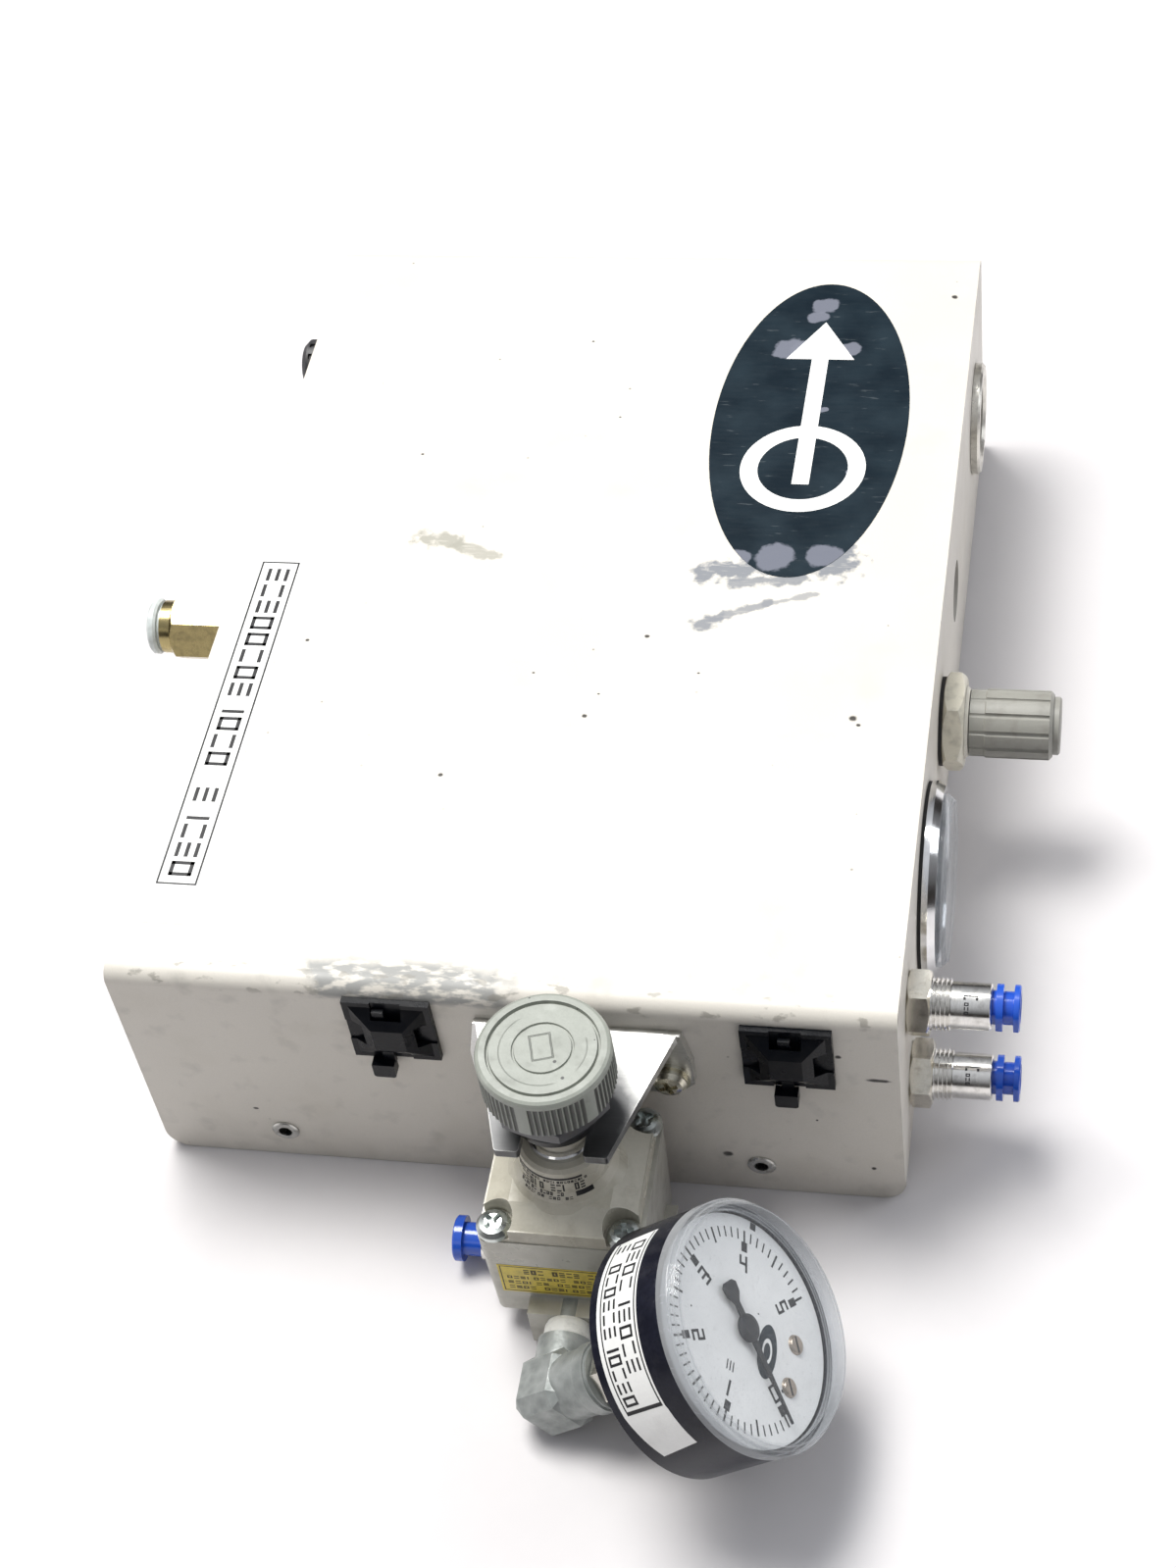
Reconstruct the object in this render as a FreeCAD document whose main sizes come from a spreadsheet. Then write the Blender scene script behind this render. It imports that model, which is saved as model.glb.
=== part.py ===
"""Bench pressure controller: a sheet metal enclosure with a panel pressure regulator and gauge,
and a precision regulator with its own gauge hung on a bracket at the front.

Millimetres. Origin: centre of the enclosure's underside. +X right, +Y back, +Z up.
"""
import FreeCAD
import Part

import math
import os
import re

import Sketcher
from FreeCAD import Placement, Rotation, Vector

DIMENSIONS = {
    # enclosure
    "case_width": 178,
    "case_depth": 257,
    "case_height": 69,
    "sheet_gauge": 1.5,
    "bend_radius": 4,
    "corner_radius": 6,
    "flange_rise": 17,
    "flange_width": 150,
    # places on the right wall, from the front
    "fitting_row": -107.5,
    "upper_fitting_level": 48,
    "lower_fitting_level": 21,
    "panel_gauge_row": -64.4,
    "panel_gauge_level": 38,
    "panel_knob_row": -16,
    "panel_knob_level": 40,
    "spare_hole_row": 31,
    "spare_hole_level": 38,
    "spare_hole_radius": 8,
    "connector_row": 97,
    "connector_level": 38,
    # places on the left wall
    "inlet_row": 2,
    "inlet_level": 44.5,
    "silencer_row": 105,
    "silencer_level": 46,
    # blind rivet nuts in the front wall and screws in the rear one
    "rivet_left": -57.8,
    "rivet_right": 56.2,
    "rivet_level": 10.2,
    "rivet_flange_radius": 3.3,
    "rivet_flange_height": 0.6,
    "rivet_barrel_radius": 2.9,
    "rivet_bore_radius": 1.65,
    "rivet_length": 9,
    "rear_screw_offset": 60,
    # pan head screws of the enclosure and the bracket
    "pan_head_radius": 3.9,
    "pan_head_height": 2.6,
    "pan_shank_radius": 1.9,
    "pan_length": 10,
    "washer_radius": 4.6,
    "washer_height": 0.8,
    "small_nut_flats": 7,
    "small_nut_height": 3.2,
    # cable tie mounts on the front wall
    "tie_size": 20,
    "tie_base": 1.6,
    "tie_peak": 4.4,
    "tie_slot_width": 7,
    "tie_slot_height": 1.9,
    "tie_left": -23.6,
    "tie_left_level": 55.8,
    "tie_right": 65,
    "tie_right_level": 54.7,
    "strap_width": 2.6,
    "strap_gauge": 1.2,
    "strap_head": 5.2,
    "strap_head_height": 4.4,
    "strap_head_depth": 2.8,
    # bracket
    "bracket_side": 19,
    "plate_gauge": 2.3,
    "plate_top": 62,
    "plate_front": -163,
    "plate_front_half": 12.2,
    "plate_back_half": 23,
    "flange_bottom": 40.5,
    "flange_half": 25,
    "notch_half": 6.9,
    "flange_screw_spread": 39.4,
    "flange_screw_level": 46.9,
    # precision regulator
    "axis_side": 18.5,
    "axis_row": -152,
    "body_width": 36.4,
    "body_size": 35,
    "body_bottom": 0.9,
    "body_top": 35.5,
    "body_draft_degrees": 1.2,
    "body_edge_radius": 2,
    "foot_notch_height": 5.6,
    "boss_width": 18.4,
    "boss_top": 13,
    "side_boss": 2.3,
    "front_boss": 4,
    "port_level": 6.6,
    "port_radius": 4.9,
    "port_depth": 10.4,
    "gauge_port_depth": 8,
    "passage_radius": 1.6,
    "poppet_chamber_radius": 5,
    "poppet_chamber_top": 16,
    "seat_radius": 2.5,
    "diaphragm_chamber_radius": 13,
    "diaphragm_chamber_floor": 32,
    "plug_radius": 6.45,
    "plug_bore_radius": 6.5,
    "plug_top": 6.8,
    "block_top": 41,
    "block_size": 34.4,
    "cone_foot_radius": 13.2,
    "cone_top": 46,
    "neck_radius": 10,
    "neck_top": 53,
    "spring_chamber_radius": 8.2,
    "spring_chamber_top": 49.4,
    "stem_radius": 5.95,
    "stem_top": 64.4,
    "screw_spread": 29,
    "screw_recess_radius": 4.6,
    "bonnet_screw_bore": 2.1,
    "diaphragm_radius": 16.4,
    "diaphragm_gauge": 0.8,
    "diaphragm_plate_radius": 9.4,
    "diaphragm_plate_top": 37.8,
    "ring_radius": 7.4,
    "ring_bottom": 53,
    "ring_top": 54.8,
    "ring_nut_radius": 9.4,
    "ring_nut_top": 64.1,
    "lock_nut_flats": 23,
    "lock_nut_bottom": 67.6,
    "lock_nut_top": 72.6,
    "knob_radius": 14.5,
    "knob_bottom": 73.6,
    "knob_top": 85,
    "knob_lip": 1.1,
    "knob_rib_radius": 0.55,
    "adjuster_radius": 3.95,
    "adjuster_bottom": 47,
    "adjuster_top": 81,
    "spring_seat_radius": 7.6,
    "spring_seat_bottom": 44.2,
    "spring_seat_top": 46.8,
    "spring_radius": 5.8,
    "spring_wire": 0.4,
    "spring_turns": 3,
    "poppet_radius": 4.4,
    "poppet_bottom": 12.4,
    "poppet_top": 15.9,
    "poppet_stem_radius": 1.2,
    "poppet_stem_top": 35.2,
    # gauge on the street elbow
    "elbow_row": -189.5,
    "elbow_level": 8.4,
    "elbow_size": 15,
    "elbow_chamfer": 3,
    "elbow_arm_radius": 7.4,
    "elbow_arm_end": 16,
    "elbow_neck_radius": 6.4,
    "nipple_radius": 4.8,
    "tape_radius": 5.5,
    "tape_front": -178,
    "gauge_tilt": 38,
    "socket_flats": 12,
    "socket_thread_start": 5,
    "socket_hex_start": 16.3,
    "socket_hex_end": 25,
    "socket_neck_radius": 5.5,
    "socket_end": 43,
    "dial_case_back": 36,
    "dial_case_front": 56,
    "dial_case_radius": 26.8,
    "dial_case_wall": 1.2,
    "lens_radius": 26.95,
    "lens_front": 61,
    "lens_wall": 1.9,
    "lens_window": 1.6,
    "lens_bevel": 1.5,
    "dial_radius": 24.8,
    "dial_level": 54.6,
    "dial_gauge": 0.7,
    "needle_level": 56.4,
    "needle_gauge": 0.5,
    "needle_length": 21.5,
    "needle_tail": 10.5,
    "needle_hub": 3,
    "needle_rest": 221,
    "pinion_radius": 1,
    "movement_level": 47,
    "tube_bow_radius": 17,
    "tube_bow_section": 2,
    "sector_reach": 13,
    "sector_pivot_radius": 0.8,
    # fittings: bulkhead union, port fitting, brass inlet
    "bulkhead_thread": 6,
    "bulkhead_inside": -8,
    "bulkhead_tail": -17,
    "bulkhead_barrel_start": 9.7,
    "bulkhead_barrel_end": 18.6,
    "bulkhead_barrel_radius": 5.3,
    "bulkhead_nut_flats": 14,
    "bulkhead_nut_height": 5.2,
    "thread_pitch": 1,
    "thread_depth": 0.5,
    "tube_socket_radius": 3.05,
    "small_bore": 2,
    "collar_sleeve": 3.85,
    "collar_bore": 3.2,
    "collar_reach": 4.2,
    "collar_gap": 0.9,
    "collar_neck": 3.75,
    "collar_flange": 5.3,
    "port_shank_end": 3.2,
    "port_shank_radius": 4.55,
    "port_thread_radius": 4.85,
    "inlet_thread": 6.5,
    "inlet_hex_flats": 16,
    "inlet_hex_end": 22.4,
    "inlet_neck_radius": 6.9,
    "inlet_neck_end": 25.6,
    "inlet_tail": -10,
    "inlet_socket_radius": 5.05,
    "inlet_collar_sleeve": 5.95,
    "inlet_collar_bore": 5.2,
    "inlet_collar_flange": 7.3,
    "inlet_nut_flats": 19,
    "inlet_nut_height": 4,
    # panel gauge
    "gasket_height": 0.9,
    "panel_bezel_radius": 23.4,
    "panel_bezel_height": 4,
    "panel_bezel_bore": 20.6,
    "panel_case_radius": 21.8,
    "panel_case_depth": 28,
    "panel_case_wall": 1,
    "panel_lens_radius": 20.4,
    "panel_lens_front": 6.2,
    "panel_stem_reach": 40,
    "panel_needle_length": 15.5,
    # panel regulator
    "panel_thread_radius": 9,
    "panel_nut_flats": 22,
    "panel_nut_height": 5.1,
    "panel_collar_end": 6.95,
    "panel_bonnet_radius": 15,
    "panel_bonnet_end": -22,
    "panel_block_end": -48,
    "panel_block_size": 30,
    "panel_knob_radius": 8.5,
    "panel_knob_start": 7.2,
    "panel_knob_end": 27.2,
    "panel_cap_radius": 7.1,
    "panel_cap_end": 29,
    "panel_stem_radius": 3.4,
    "panel_flute_radius": 0.7,
    "panel_flute_count": 12,
    # electrical connector
    "connector_flange": 15,
    "connector_lip": 2.4,
    "connector_barrel": 12.4,
    "connector_bore": 11,
    "connector_depth": 14,
    "contact_radius": 1.3,
    "contact_circle": 6,
    # silencer and solenoid valve
    "silencer_radius": 7.2,
    "silencer_length": 11,
    "silencer_thread": 4.8,
    "valve_width": 26,
    "valve_length": 58,
    "valve_depth": 30,
    "valve_bottom": 27,
    "coil_length": 34,
    "air_tube_radius": 3,
    "air_tube_bend": 7,
}

UP = (0, 0, 1)
RIGHT = (1, 0, 0)
LEFT = (-1, 0, 0)
FRONT = (0, -1, 0)
BACK = (0, 1, 0)

doc = FreeCAD.newDocument("pressure_controller")
dims = doc.addObject("Spreadsheet::Sheet", "Dims")
for row, (alias, number) in enumerate(DIMENSIONS.items(), start=1):
    dims.set(f"A{row}", alias)
    dims.set(f"B{row}", str(number))
    dims.setAlias(f"B{row}", alias)
doc.recompute()

sub_parts = []


# ---------------------------------------------------------------- sheet formulas


def formula(text):
    """Write the sheet's name in front of every dimension in an expression."""
    return re.sub(r"[a-z][a-z_]+", r"Dims.\g<0>", str(text))


def size(text):
    """Value of an expression of the sheet's dimensions."""
    return float(dims.evalExpression(formula(text)))


def bind(thing, name, text):
    """Drive one property of an object from the sheet, or set it to a plain number."""
    if re.search(r"[a-z]", str(text)):
        thing.setExpression(name, formula(text))
    else:
        setattr(thing, name, float(text))


def spot(side, row, level):
    """Point whose three coordinates are expressions."""
    return Vector(size(side), size(row), size(level))


def aim(at, axis=UP, turn=0):
    """Placement whose own Z looks along axis, turned about it."""
    return Placement(Vector(at), Rotation(Vector(UP), Vector(axis)) * Rotation(Vector(UP), turn))


# ---------------------------------------------------------------- sketches and features


def new_body(label, place=None, keep=True):
    body = doc.addObject("PartDesign::Body", label)
    body.Label = label
    body.Placement = place or Placement()
    if keep:
        sub_parts.append(body)
    return body


def new_sketch(body, plane="XY_Plane", offset=0):
    sketch = body.newObject("Sketcher::SketchObject", body.Label + "_sketch")
    support = next(item for item in body.Origin.OriginFeatures if item.Role == plane)
    sketch.AttachmentSupport = [(support, "")]
    sketch.MapMode = "FlatFace"
    sketch.AttachmentOffset = Placement(Vector(0, 0, size(offset)), Rotation())
    if re.search(r"[a-z]", str(offset)):
        sketch.setExpression("AttachmentOffset.Base.z", formula(offset))
    return sketch


def pin(sketch, kind, shape, point, text):
    """Hold a point's distance from the sketch's origin at an expression's value."""
    index = sketch.addConstraint(Sketcher.Constraint(kind, -1, 1, shape, point, size(text)))
    if re.search(r"[a-z]", str(text)):
        sketch.setExpression(f"Constraints[{index}]", formula(text))


def add_polygon(sketch, corners):
    first = sketch.GeometryCount
    points = [Vector(size(across), size(along), 0) for across, along in corners]
    following = points[1:] + points[:1]
    for start, end in zip(points, following):
        sketch.addGeometry(Part.LineSegment(start, end))
    for index in range(len(points)):
        after = first + (index + 1) % len(points)
        sketch.addConstraint(Sketcher.Constraint("Coincident", first + index, 2, after, 1))
    for index, (across, along) in enumerate(corners):
        pin(sketch, "DistanceX", first + index, 1, across)
        pin(sketch, "DistanceY", first + index, 1, along)


def add_circle(sketch, across, along, radius):
    circle = Part.Circle(Vector(size(across), size(along), 0), Vector(UP), size(radius))
    index = sketch.addGeometry(circle)
    pin(sketch, "DistanceX", index, 3, across)
    pin(sketch, "DistanceY", index, 3, along)
    held = sketch.addConstraint(Sketcher.Constraint("Radius", index, size(radius)))
    if re.search(r"[a-z]", str(radius)):
        sketch.setExpression(f"Constraints[{held}]", formula(radius))


def box_corners(across, along, width, height):
    """Corners of a rectangle from its centre and its sizes, all expressions."""
    return [
        (f"{across} - ({width}) / 2", f"{along} - ({height}) / 2"),
        (f"{across} + ({width}) / 2", f"{along} - ({height}) / 2"),
        (f"{across} + ({width}) / 2", f"{along} + ({height}) / 2"),
        (f"{across} - ({width}) / 2", f"{along} + ({height}) / 2"),
    ]


def hexagon(flats, turn=0):
    """Corners of a hexagon from its width across flats."""
    corners = []
    for step in range(6):
        angle = math.radians(60 * step + turn)
        reach = 1 / math.sqrt(3)
        across = reach * math.cos(angle)
        along = reach * math.sin(angle)
        corners.append((f"{flats} * {across:.6f}", f"{flats} * {along:.6f}"))
    return corners


def extrude(body, sketch, length, kind="Pad", reverse=False, centred=False):
    """Pad or Pocket of a sketch."""
    feature = body.newObject("PartDesign::" + kind, body.Label + "_" + kind.lower())
    feature.Profile = sketch
    bind(feature, "Length", length)
    feature.Reversed = reverse
    if centred:
        feature.SideType = "Symmetric"
    doc.recompute()
    return feature


def cut(body, sketch, length, reverse=False, centred=False):
    """Pocket that has to remove material."""
    before = body.Shape.Volume
    feature = extrude(body, sketch, length, "Pocket", reverse, centred)
    if body.Shape.Volume > before - 1e-6:
        raise RuntimeError(f"a pocket in {body.Label} removes nothing")
    return feature


def spin(body, profile, kind="Revolution"):
    """Turn a profile of (radius, height) expressions about the body's own Z."""
    sketch = new_sketch(body, "XZ_Plane")
    add_polygon(sketch, profile)
    before = body.Shape.Volume if kind == "Groove" else 0
    feature = body.newObject("PartDesign::" + kind, body.Label + "_" + kind.lower())
    feature.Profile = sketch
    feature.ReferenceAxis = (sketch, ["V_Axis"])
    feature.Angle = 360
    doc.recompute()
    if kind == "Groove" and body.Shape.Volume > before - 1e-6:
        raise RuntimeError(f"a groove in {body.Label} removes nothing")
    return feature


def turned(label, profile, place=None, keep=True):
    body = new_body(label, place, keep)
    spin(body, profile)
    return body


def repeat(body, feature, count):
    """Repeat a feature around the body's own Z."""
    pattern = body.newObject("PartDesign::PolarPattern", body.Label + "_pattern")
    pattern.Originals = [feature]
    pattern.Axis = (feature.Profile[0], ["N_Axis"])
    pattern.Angle = 360
    pattern.Occurrences = count
    body.Tip = pattern
    doc.recompute()
    return pattern


def edges_where(shape, wanted):
    """Names of the edges whose centre and direction satisfy a test."""
    names = []
    for index, edge in enumerate(shape.Edges, start=1):
        ends = [vertex.Point for vertex in edge.Vertexes]
        if len(ends) == 2 and wanted(edge.CenterOfMass, (ends[1] - ends[0]).normalize()):
            names.append(f"Edge{index}")
    return names


def round_edges(body, wanted, radius, kind="Fillet"):
    base = body.Tip
    feature = body.newObject("PartDesign::" + kind, body.Label + "_" + kind.lower())
    feature.Base = (base, edges_where(base.Shape, wanted))
    bind(feature, "Radius" if kind == "Fillet" else "Size", radius)
    doc.recompute()
    return feature


def group(label, pieces):
    """One node that holds several separate solids."""
    feature = doc.addObject("Part::Feature", label)
    feature.Label = label
    feature.Shape = Part.makeCompound(pieces)
    sub_parts.append(feature)
    return feature


def placed(shape, place):
    """Copy of a shape that was built at the origin, moved to a placement."""
    copy = shape.copy()
    copy.Placement = place.multiply(copy.Placement)
    return copy


def hex_nut(label, flats, thickness, bore, place=None, keep=True, turn=0):
    """Hexagonal nut on the local XY plane with chamfered corners and a plain bore."""
    body = new_body(label, place, keep)
    sketch = new_sketch(body)
    add_polygon(sketch, hexagon(flats, turn))
    add_circle(sketch, 0, 0, bore)
    extrude(body, sketch, thickness)
    corner = f"({flats}) * 0.58"
    bevel = f"({flats}) * 0.045"
    for face, way in ((thickness, "-"), ("0", "+")):
        spin(body, [
            (f"({flats}) * 0.49", face),
            (f"{corner} + 1", f"{face} {way} {bevel} * 2"),
            (f"{corner} + 1", face),
        ], "Groove")
    return body


def cross_recess(body, top, width, depth):
    """Cross shaped driver recess in a screw head."""
    narrow = f"({width}) * 0.14"
    wide = f"({width}) * 0.5"
    arms = [
        (wide, narrow), (narrow, narrow), (narrow, wide), (f"-({narrow})", wide),
        (f"-({narrow})", narrow), (f"-({wide})", narrow), (f"-({wide})", f"-({narrow})"),
        (f"-({narrow})", f"-({narrow})"), (f"-({narrow})", f"-({wide})"), (narrow, f"-({wide})"),
        (narrow, f"-({narrow})"), (wide, f"-({narrow})"),
    ]
    sketch = new_sketch(body, "XY_Plane", top)
    add_polygon(sketch, arms)
    cut(body, sketch, depth)


def pan_screw(label, seat="0"):
    """Pan head screw: the head sits on the local XY plane at the seat and the shank points down."""
    body = turned(label, [
        ("0", f"{seat} - pan_length"),
        ("pan_shank_radius", f"{seat} - pan_length"),
        ("pan_shank_radius", seat),
        ("pan_head_radius", seat),
        ("pan_head_radius", f"{seat} + pan_head_height * 0.45"),
        ("pan_head_radius * 0.8", f"{seat} + pan_head_height * 0.86"),
        ("pan_head_radius * 0.5", f"{seat} + pan_head_height"),
        ("0", f"{seat} + pan_head_height"),
    ], keep=False)
    cross_recess(body, f"{seat} + pan_head_height", "pan_head_radius * 1.1", "pan_head_height * 0.6")
    return body


# ---------------------------------------------------------------- enclosure


def make_cover():
    """Top, front and back wall in one folded sheet."""
    body = new_body("cover")
    half = "case_depth / 2"
    sketch = new_sketch(body, "YZ_Plane")
    add_polygon(sketch, [
        (f"-{half}", "0"), (f"-{half}", "case_height"), (half, "case_height"), (half, "0"),
        (f"{half} - sheet_gauge", "0"), (f"{half} - sheet_gauge", "case_height - sheet_gauge"),
        (f"sheet_gauge - {half}", "case_height - sheet_gauge"), (f"sheet_gauge - {half}", "0"),
    ])
    extrude(body, sketch, "case_width", centred=True)
    height = size("case_height")
    gauge = size("sheet_gauge")
    inner = height - gauge
    side = size("case_width / 2")
    for level, radius in ((height, "bend_radius"), (inner, "bend_radius - sheet_gauge")):
        round_edges(body, lambda c, d: abs(d.x) > 0.99 and abs(c.z - level) < 0.1, radius)
    round_edges(body, lambda c, d: abs(d.y) > 0.99 and math.hypot(c.z, abs(c.x) - side) < 0.1, "corner_radius")

    front = new_sketch(body, "XZ_Plane")
    for place in ("rivet_left", "rivet_right"):
        add_circle(front, place, "rivet_level", "rivet_barrel_radius")
    for way in (-1, 1):
        screw_side = f"bracket_side + {way} * flange_screw_spread / 2"
        add_circle(front, screw_side, "flange_screw_level", "pan_shank_radius + 0.15")
    cut(body, front, "case_depth", reverse=True)
    rear = new_sketch(body, "XZ_Plane")
    for way in (-1, 1):
        add_circle(rear, f"{way} * rear_screw_offset", "rivet_level", "pan_shank_radius + 0.15")
    cut(body, rear, "case_depth")


def make_chassis():
    """Floor, side walls and the two low flanges that the cover is fixed to."""
    body = new_body("chassis")
    half = "case_width / 2"
    long = "case_depth - 2 * sheet_gauge"
    sketch = new_sketch(body, "XZ_Plane")
    add_polygon(sketch, [
        (f"-{half}", "0"), (half, "0"), (half, "case_height - sheet_gauge"),
        (f"{half} - sheet_gauge", "case_height - sheet_gauge"), (f"{half} - sheet_gauge", "sheet_gauge"),
        (f"sheet_gauge - {half}", "sheet_gauge"), (f"sheet_gauge - {half}", "case_height - sheet_gauge"),
        (f"-{half}", "case_height - sheet_gauge"),
    ])
    extrude(body, sketch, long, centred=True)
    side = size(half)
    round_edges(body, lambda c, d: abs(d.y) > 0.99 and math.hypot(c.z, abs(c.x) - side) < 0.1, "bend_radius")
    flange = new_sketch(body, "YZ_Plane")
    for way in (-1, 1):
        add_polygon(flange, box_corners(
            f"{way} * (case_depth / 2 - sheet_gauge * 1.5)", "flange_rise / 2", "sheet_gauge", "flange_rise"))
    extrude(body, flange, "flange_width", centred=True)

    right = new_sketch(body, "YZ_Plane")
    for level in ("upper_fitting_level", "lower_fitting_level"):
        add_circle(right, "fitting_row", level, "bulkhead_thread + 0.15")
    add_circle(right, "panel_gauge_row", "panel_gauge_level", "panel_case_radius + 0.3")
    add_circle(right, "panel_knob_row", "panel_knob_level", "panel_thread_radius + 0.2")
    add_circle(right, "spare_hole_row", "spare_hole_level", "spare_hole_radius")
    add_circle(right, "connector_row", "connector_level", "connector_barrel + 0.3")
    cut(body, right, "case_width", reverse=True)
    left = new_sketch(body, "YZ_Plane")
    add_circle(left, "inlet_row", "inlet_level", "inlet_thread + 0.2")
    add_circle(left, "silencer_row", "silencer_level", "silencer_thread + 0.2")
    cut(body, left, "case_width")
    front = new_sketch(body, "XZ_Plane")
    for place in ("rivet_left", "rivet_right"):
        add_circle(front, place, "rivet_level", "rivet_barrel_radius")
    cut(body, front, "case_depth", reverse=True)
    rear = new_sketch(body, "XZ_Plane")
    for way in (-1, 1):
        add_circle(rear, f"{way} * rear_screw_offset", "rivet_level", "pan_shank_radius")
    cut(body, rear, "case_depth")


def make_enclosure_fasteners():
    """Rivet nuts in the front wall and screws in the rear wall."""
    nut = turned("rivet_nut_pattern", [
        ("rivet_bore_radius", "-rivet_length"),
        ("rivet_barrel_radius - 0.05", "-rivet_length"),
        ("rivet_barrel_radius - 0.05", "0"),
        ("rivet_flange_radius", "0"),
        ("rivet_flange_radius", "rivet_flange_height * 0.6"),
        ("rivet_flange_radius - 0.4", "rivet_flange_height"),
        ("rivet_bore_radius", "rivet_flange_height"),
    ], keep=False)
    sides = ("rivet_left", "rivet_right")
    places = [aim(spot(side, "-case_depth / 2", "rivet_level"), FRONT) for side in sides]
    group("rivet_nuts", [placed(nut.Shape, place) for place in places])

    screw = pan_screw("rear_screw_pattern")
    sides = [f"{way} * rear_screw_offset" for way in (-1, 1)]
    places = [aim(spot(side, "case_depth / 2", "rivet_level"), BACK) for side in sides]
    group("rear_cover_screws", [placed(screw.Shape, place) for place in places])


def make_tie_mounts():
    """Self-adhesive tie mounts and the cut-off cable ties left in them."""
    body = new_body("tie_mount_pattern", keep=False)
    base = new_sketch(body)
    add_polygon(base, box_corners("0", "0", "tie_size", "tie_size"))
    extrude(body, base, "tie_base")
    crown = body.newObject("PartDesign::AdditiveLoft", "tie_crown")
    low = new_sketch(body, "XY_Plane", "tie_base")
    add_polygon(low, box_corners("0", "0", "tie_size * 0.86", "tie_size * 0.86"))
    high = new_sketch(body, "XY_Plane", "tie_peak")
    add_polygon(high, box_corners("0", "0", "tie_size * 0.36", "tie_size * 0.36"))
    crown.Profile = low
    crown.Sections = [high]
    doc.recompute()
    for plane in ("YZ_Plane", "XZ_Plane"):
        slot = new_sketch(body, plane)
        level = "tie_base + tie_slot_height / 2 - 0.4"
        add_polygon(slot, box_corners("0", level, "tie_slot_width", "tie_slot_height"))
        cut(body, slot, "tie_size * 2", centred=True)

    places = [
        aim(spot("tie_left", "-case_depth / 2", "tie_left_level"), FRONT),
        aim(spot("tie_right", "-case_depth / 2", "tie_right_level"), FRONT),
    ]
    group("tie_mounts", [placed(body.Shape, place) for place in places])

    # the strap runs down through the upright slot and ends in its square head below
    ties = []
    for strap_side, head_side, place in zip(("-1.8", "-0.3"), ("-3.2", "-0.6"), places):
        tie = new_body("cable_tie_pattern", keep=False)
        strap = new_sketch(tie, "XY_Plane", "tie_base - 0.3")
        add_polygon(strap, box_corners(strap_side, "-1.5", "strap_width", "tie_size - 1"))
        extrude(tie, strap, "strap_gauge")
        head = new_sketch(tie, "XY_Plane", "tie_base - 0.2")
        middle = "-(tie_size + strap_head_height) / 2 + 0.1"
        add_polygon(head, box_corners(head_side, middle, "strap_head", "strap_head_height"))
        extrude(tie, head, "strap_head_depth")
        low = size("0.5 - tie_size / 2 - strap_head_height")
        round_edges(tie, lambda c, d: abs(d.z) > 0.99 and c.y < low, "0.8")
        ties.append(placed(tie.Shape, place))
    group("cable_ties", ties)


def make_bracket():
    """Angle bracket that carries the precision regulator in front of the enclosure."""
    wall = "-case_depth / 2"
    body = new_body("mounting_bracket")
    plate = new_sketch(body, "XY_Plane", "plate_top - plate_gauge")
    add_polygon(plate, [
        ("bracket_side - plate_back_half", wall),
        ("bracket_side - plate_front_half", "plate_front"),
        ("bracket_side - notch_half", "plate_front"),
        ("bracket_side - notch_half", "axis_row"),
        ("bracket_side - notch_half * 0.7071", "axis_row + notch_half * 0.7071"),
        ("bracket_side", "axis_row + notch_half"),
        ("bracket_side + notch_half * 0.7071", "axis_row + notch_half * 0.7071"),
        ("bracket_side + notch_half", "axis_row"),
        ("bracket_side + notch_half", "plate_front"),
        ("bracket_side + plate_front_half", "plate_front"),
        ("bracket_side + plate_back_half", wall),
    ])
    extrude(body, plate, "plate_gauge")
    flange = new_sketch(body, "XZ_Plane", "case_depth / 2")
    add_polygon(flange, [
        ("bracket_side - flange_half", "flange_bottom + 11"),
        ("bracket_side - flange_half", "flange_bottom + 4"),
        ("bracket_side - flange_half + 4", "flange_bottom"),
        ("bracket_side + flange_half - 4", "flange_bottom"),
        ("bracket_side + flange_half", "flange_bottom + 4"),
        ("bracket_side + flange_half", "flange_bottom + 11"),
        ("bracket_side + plate_back_half", "plate_top"),
        ("bracket_side - plate_back_half", "plate_top"),
    ])
    extrude(body, flange, "plate_gauge")
    top = size("plate_top")
    back = size(wall)
    front = size("plate_front")
    low = top - size("plate_gauge")
    face = back - size("plate_gauge")
    for level, row, radius in ((top, back, "plate_gauge * 0.8"), (low, face, "0.8")):
        round_edges(body, lambda c, d: abs(d.x) > 0.99 and math.hypot(c.z - level, c.y - row) < 0.1, radius)
    round_edges(body, lambda c, d: abs(d.z) > 0.99 and abs(c.y - front) < 0.1, "0.8")
    holes = new_sketch(body, "XZ_Plane", "case_depth / 2")
    for way in (-1, 1):
        screw_side = f"bracket_side + {way} * flange_screw_spread / 2"
        add_circle(holes, screw_side, "flange_screw_level", "pan_shank_radius + 0.2")
    cut(body, holes, "plate_gauge * 3", centred=True)

    screw = pan_screw("bracket_screw_pattern", "washer_height")
    washer = turned("bracket_washer_pattern", [
        ("pan_shank_radius + 0.15", "0"), ("washer_radius", "0"),
        ("washer_radius", "washer_height - 0.02"), ("pan_shank_radius + 0.15", "washer_height - 0.02"),
    ], keep=False)
    nut = hex_nut("small_nut_pattern", "small_nut_flats", "small_nut_height", "pan_shank_radius + 0.05",
                  keep=False)
    sides = [f"bracket_side + {way} * flange_screw_spread / 2" for way in (-1, 1)]
    outer = [aim(spot(side, f"{wall} - plate_gauge", "flange_screw_level"), FRONT, 20) for side in sides]
    inner = [aim(spot(side, f"{wall} + sheet_gauge", "flange_screw_level"), BACK) for side in sides]
    group("bracket_screws", [placed(piece.Shape, place) for place in outer for piece in (screw, washer)])
    group("bracket_nuts", [placed(nut.Shape, place) for place in inner])


# ---------------------------------------------------------------- push-in fittings


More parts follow.
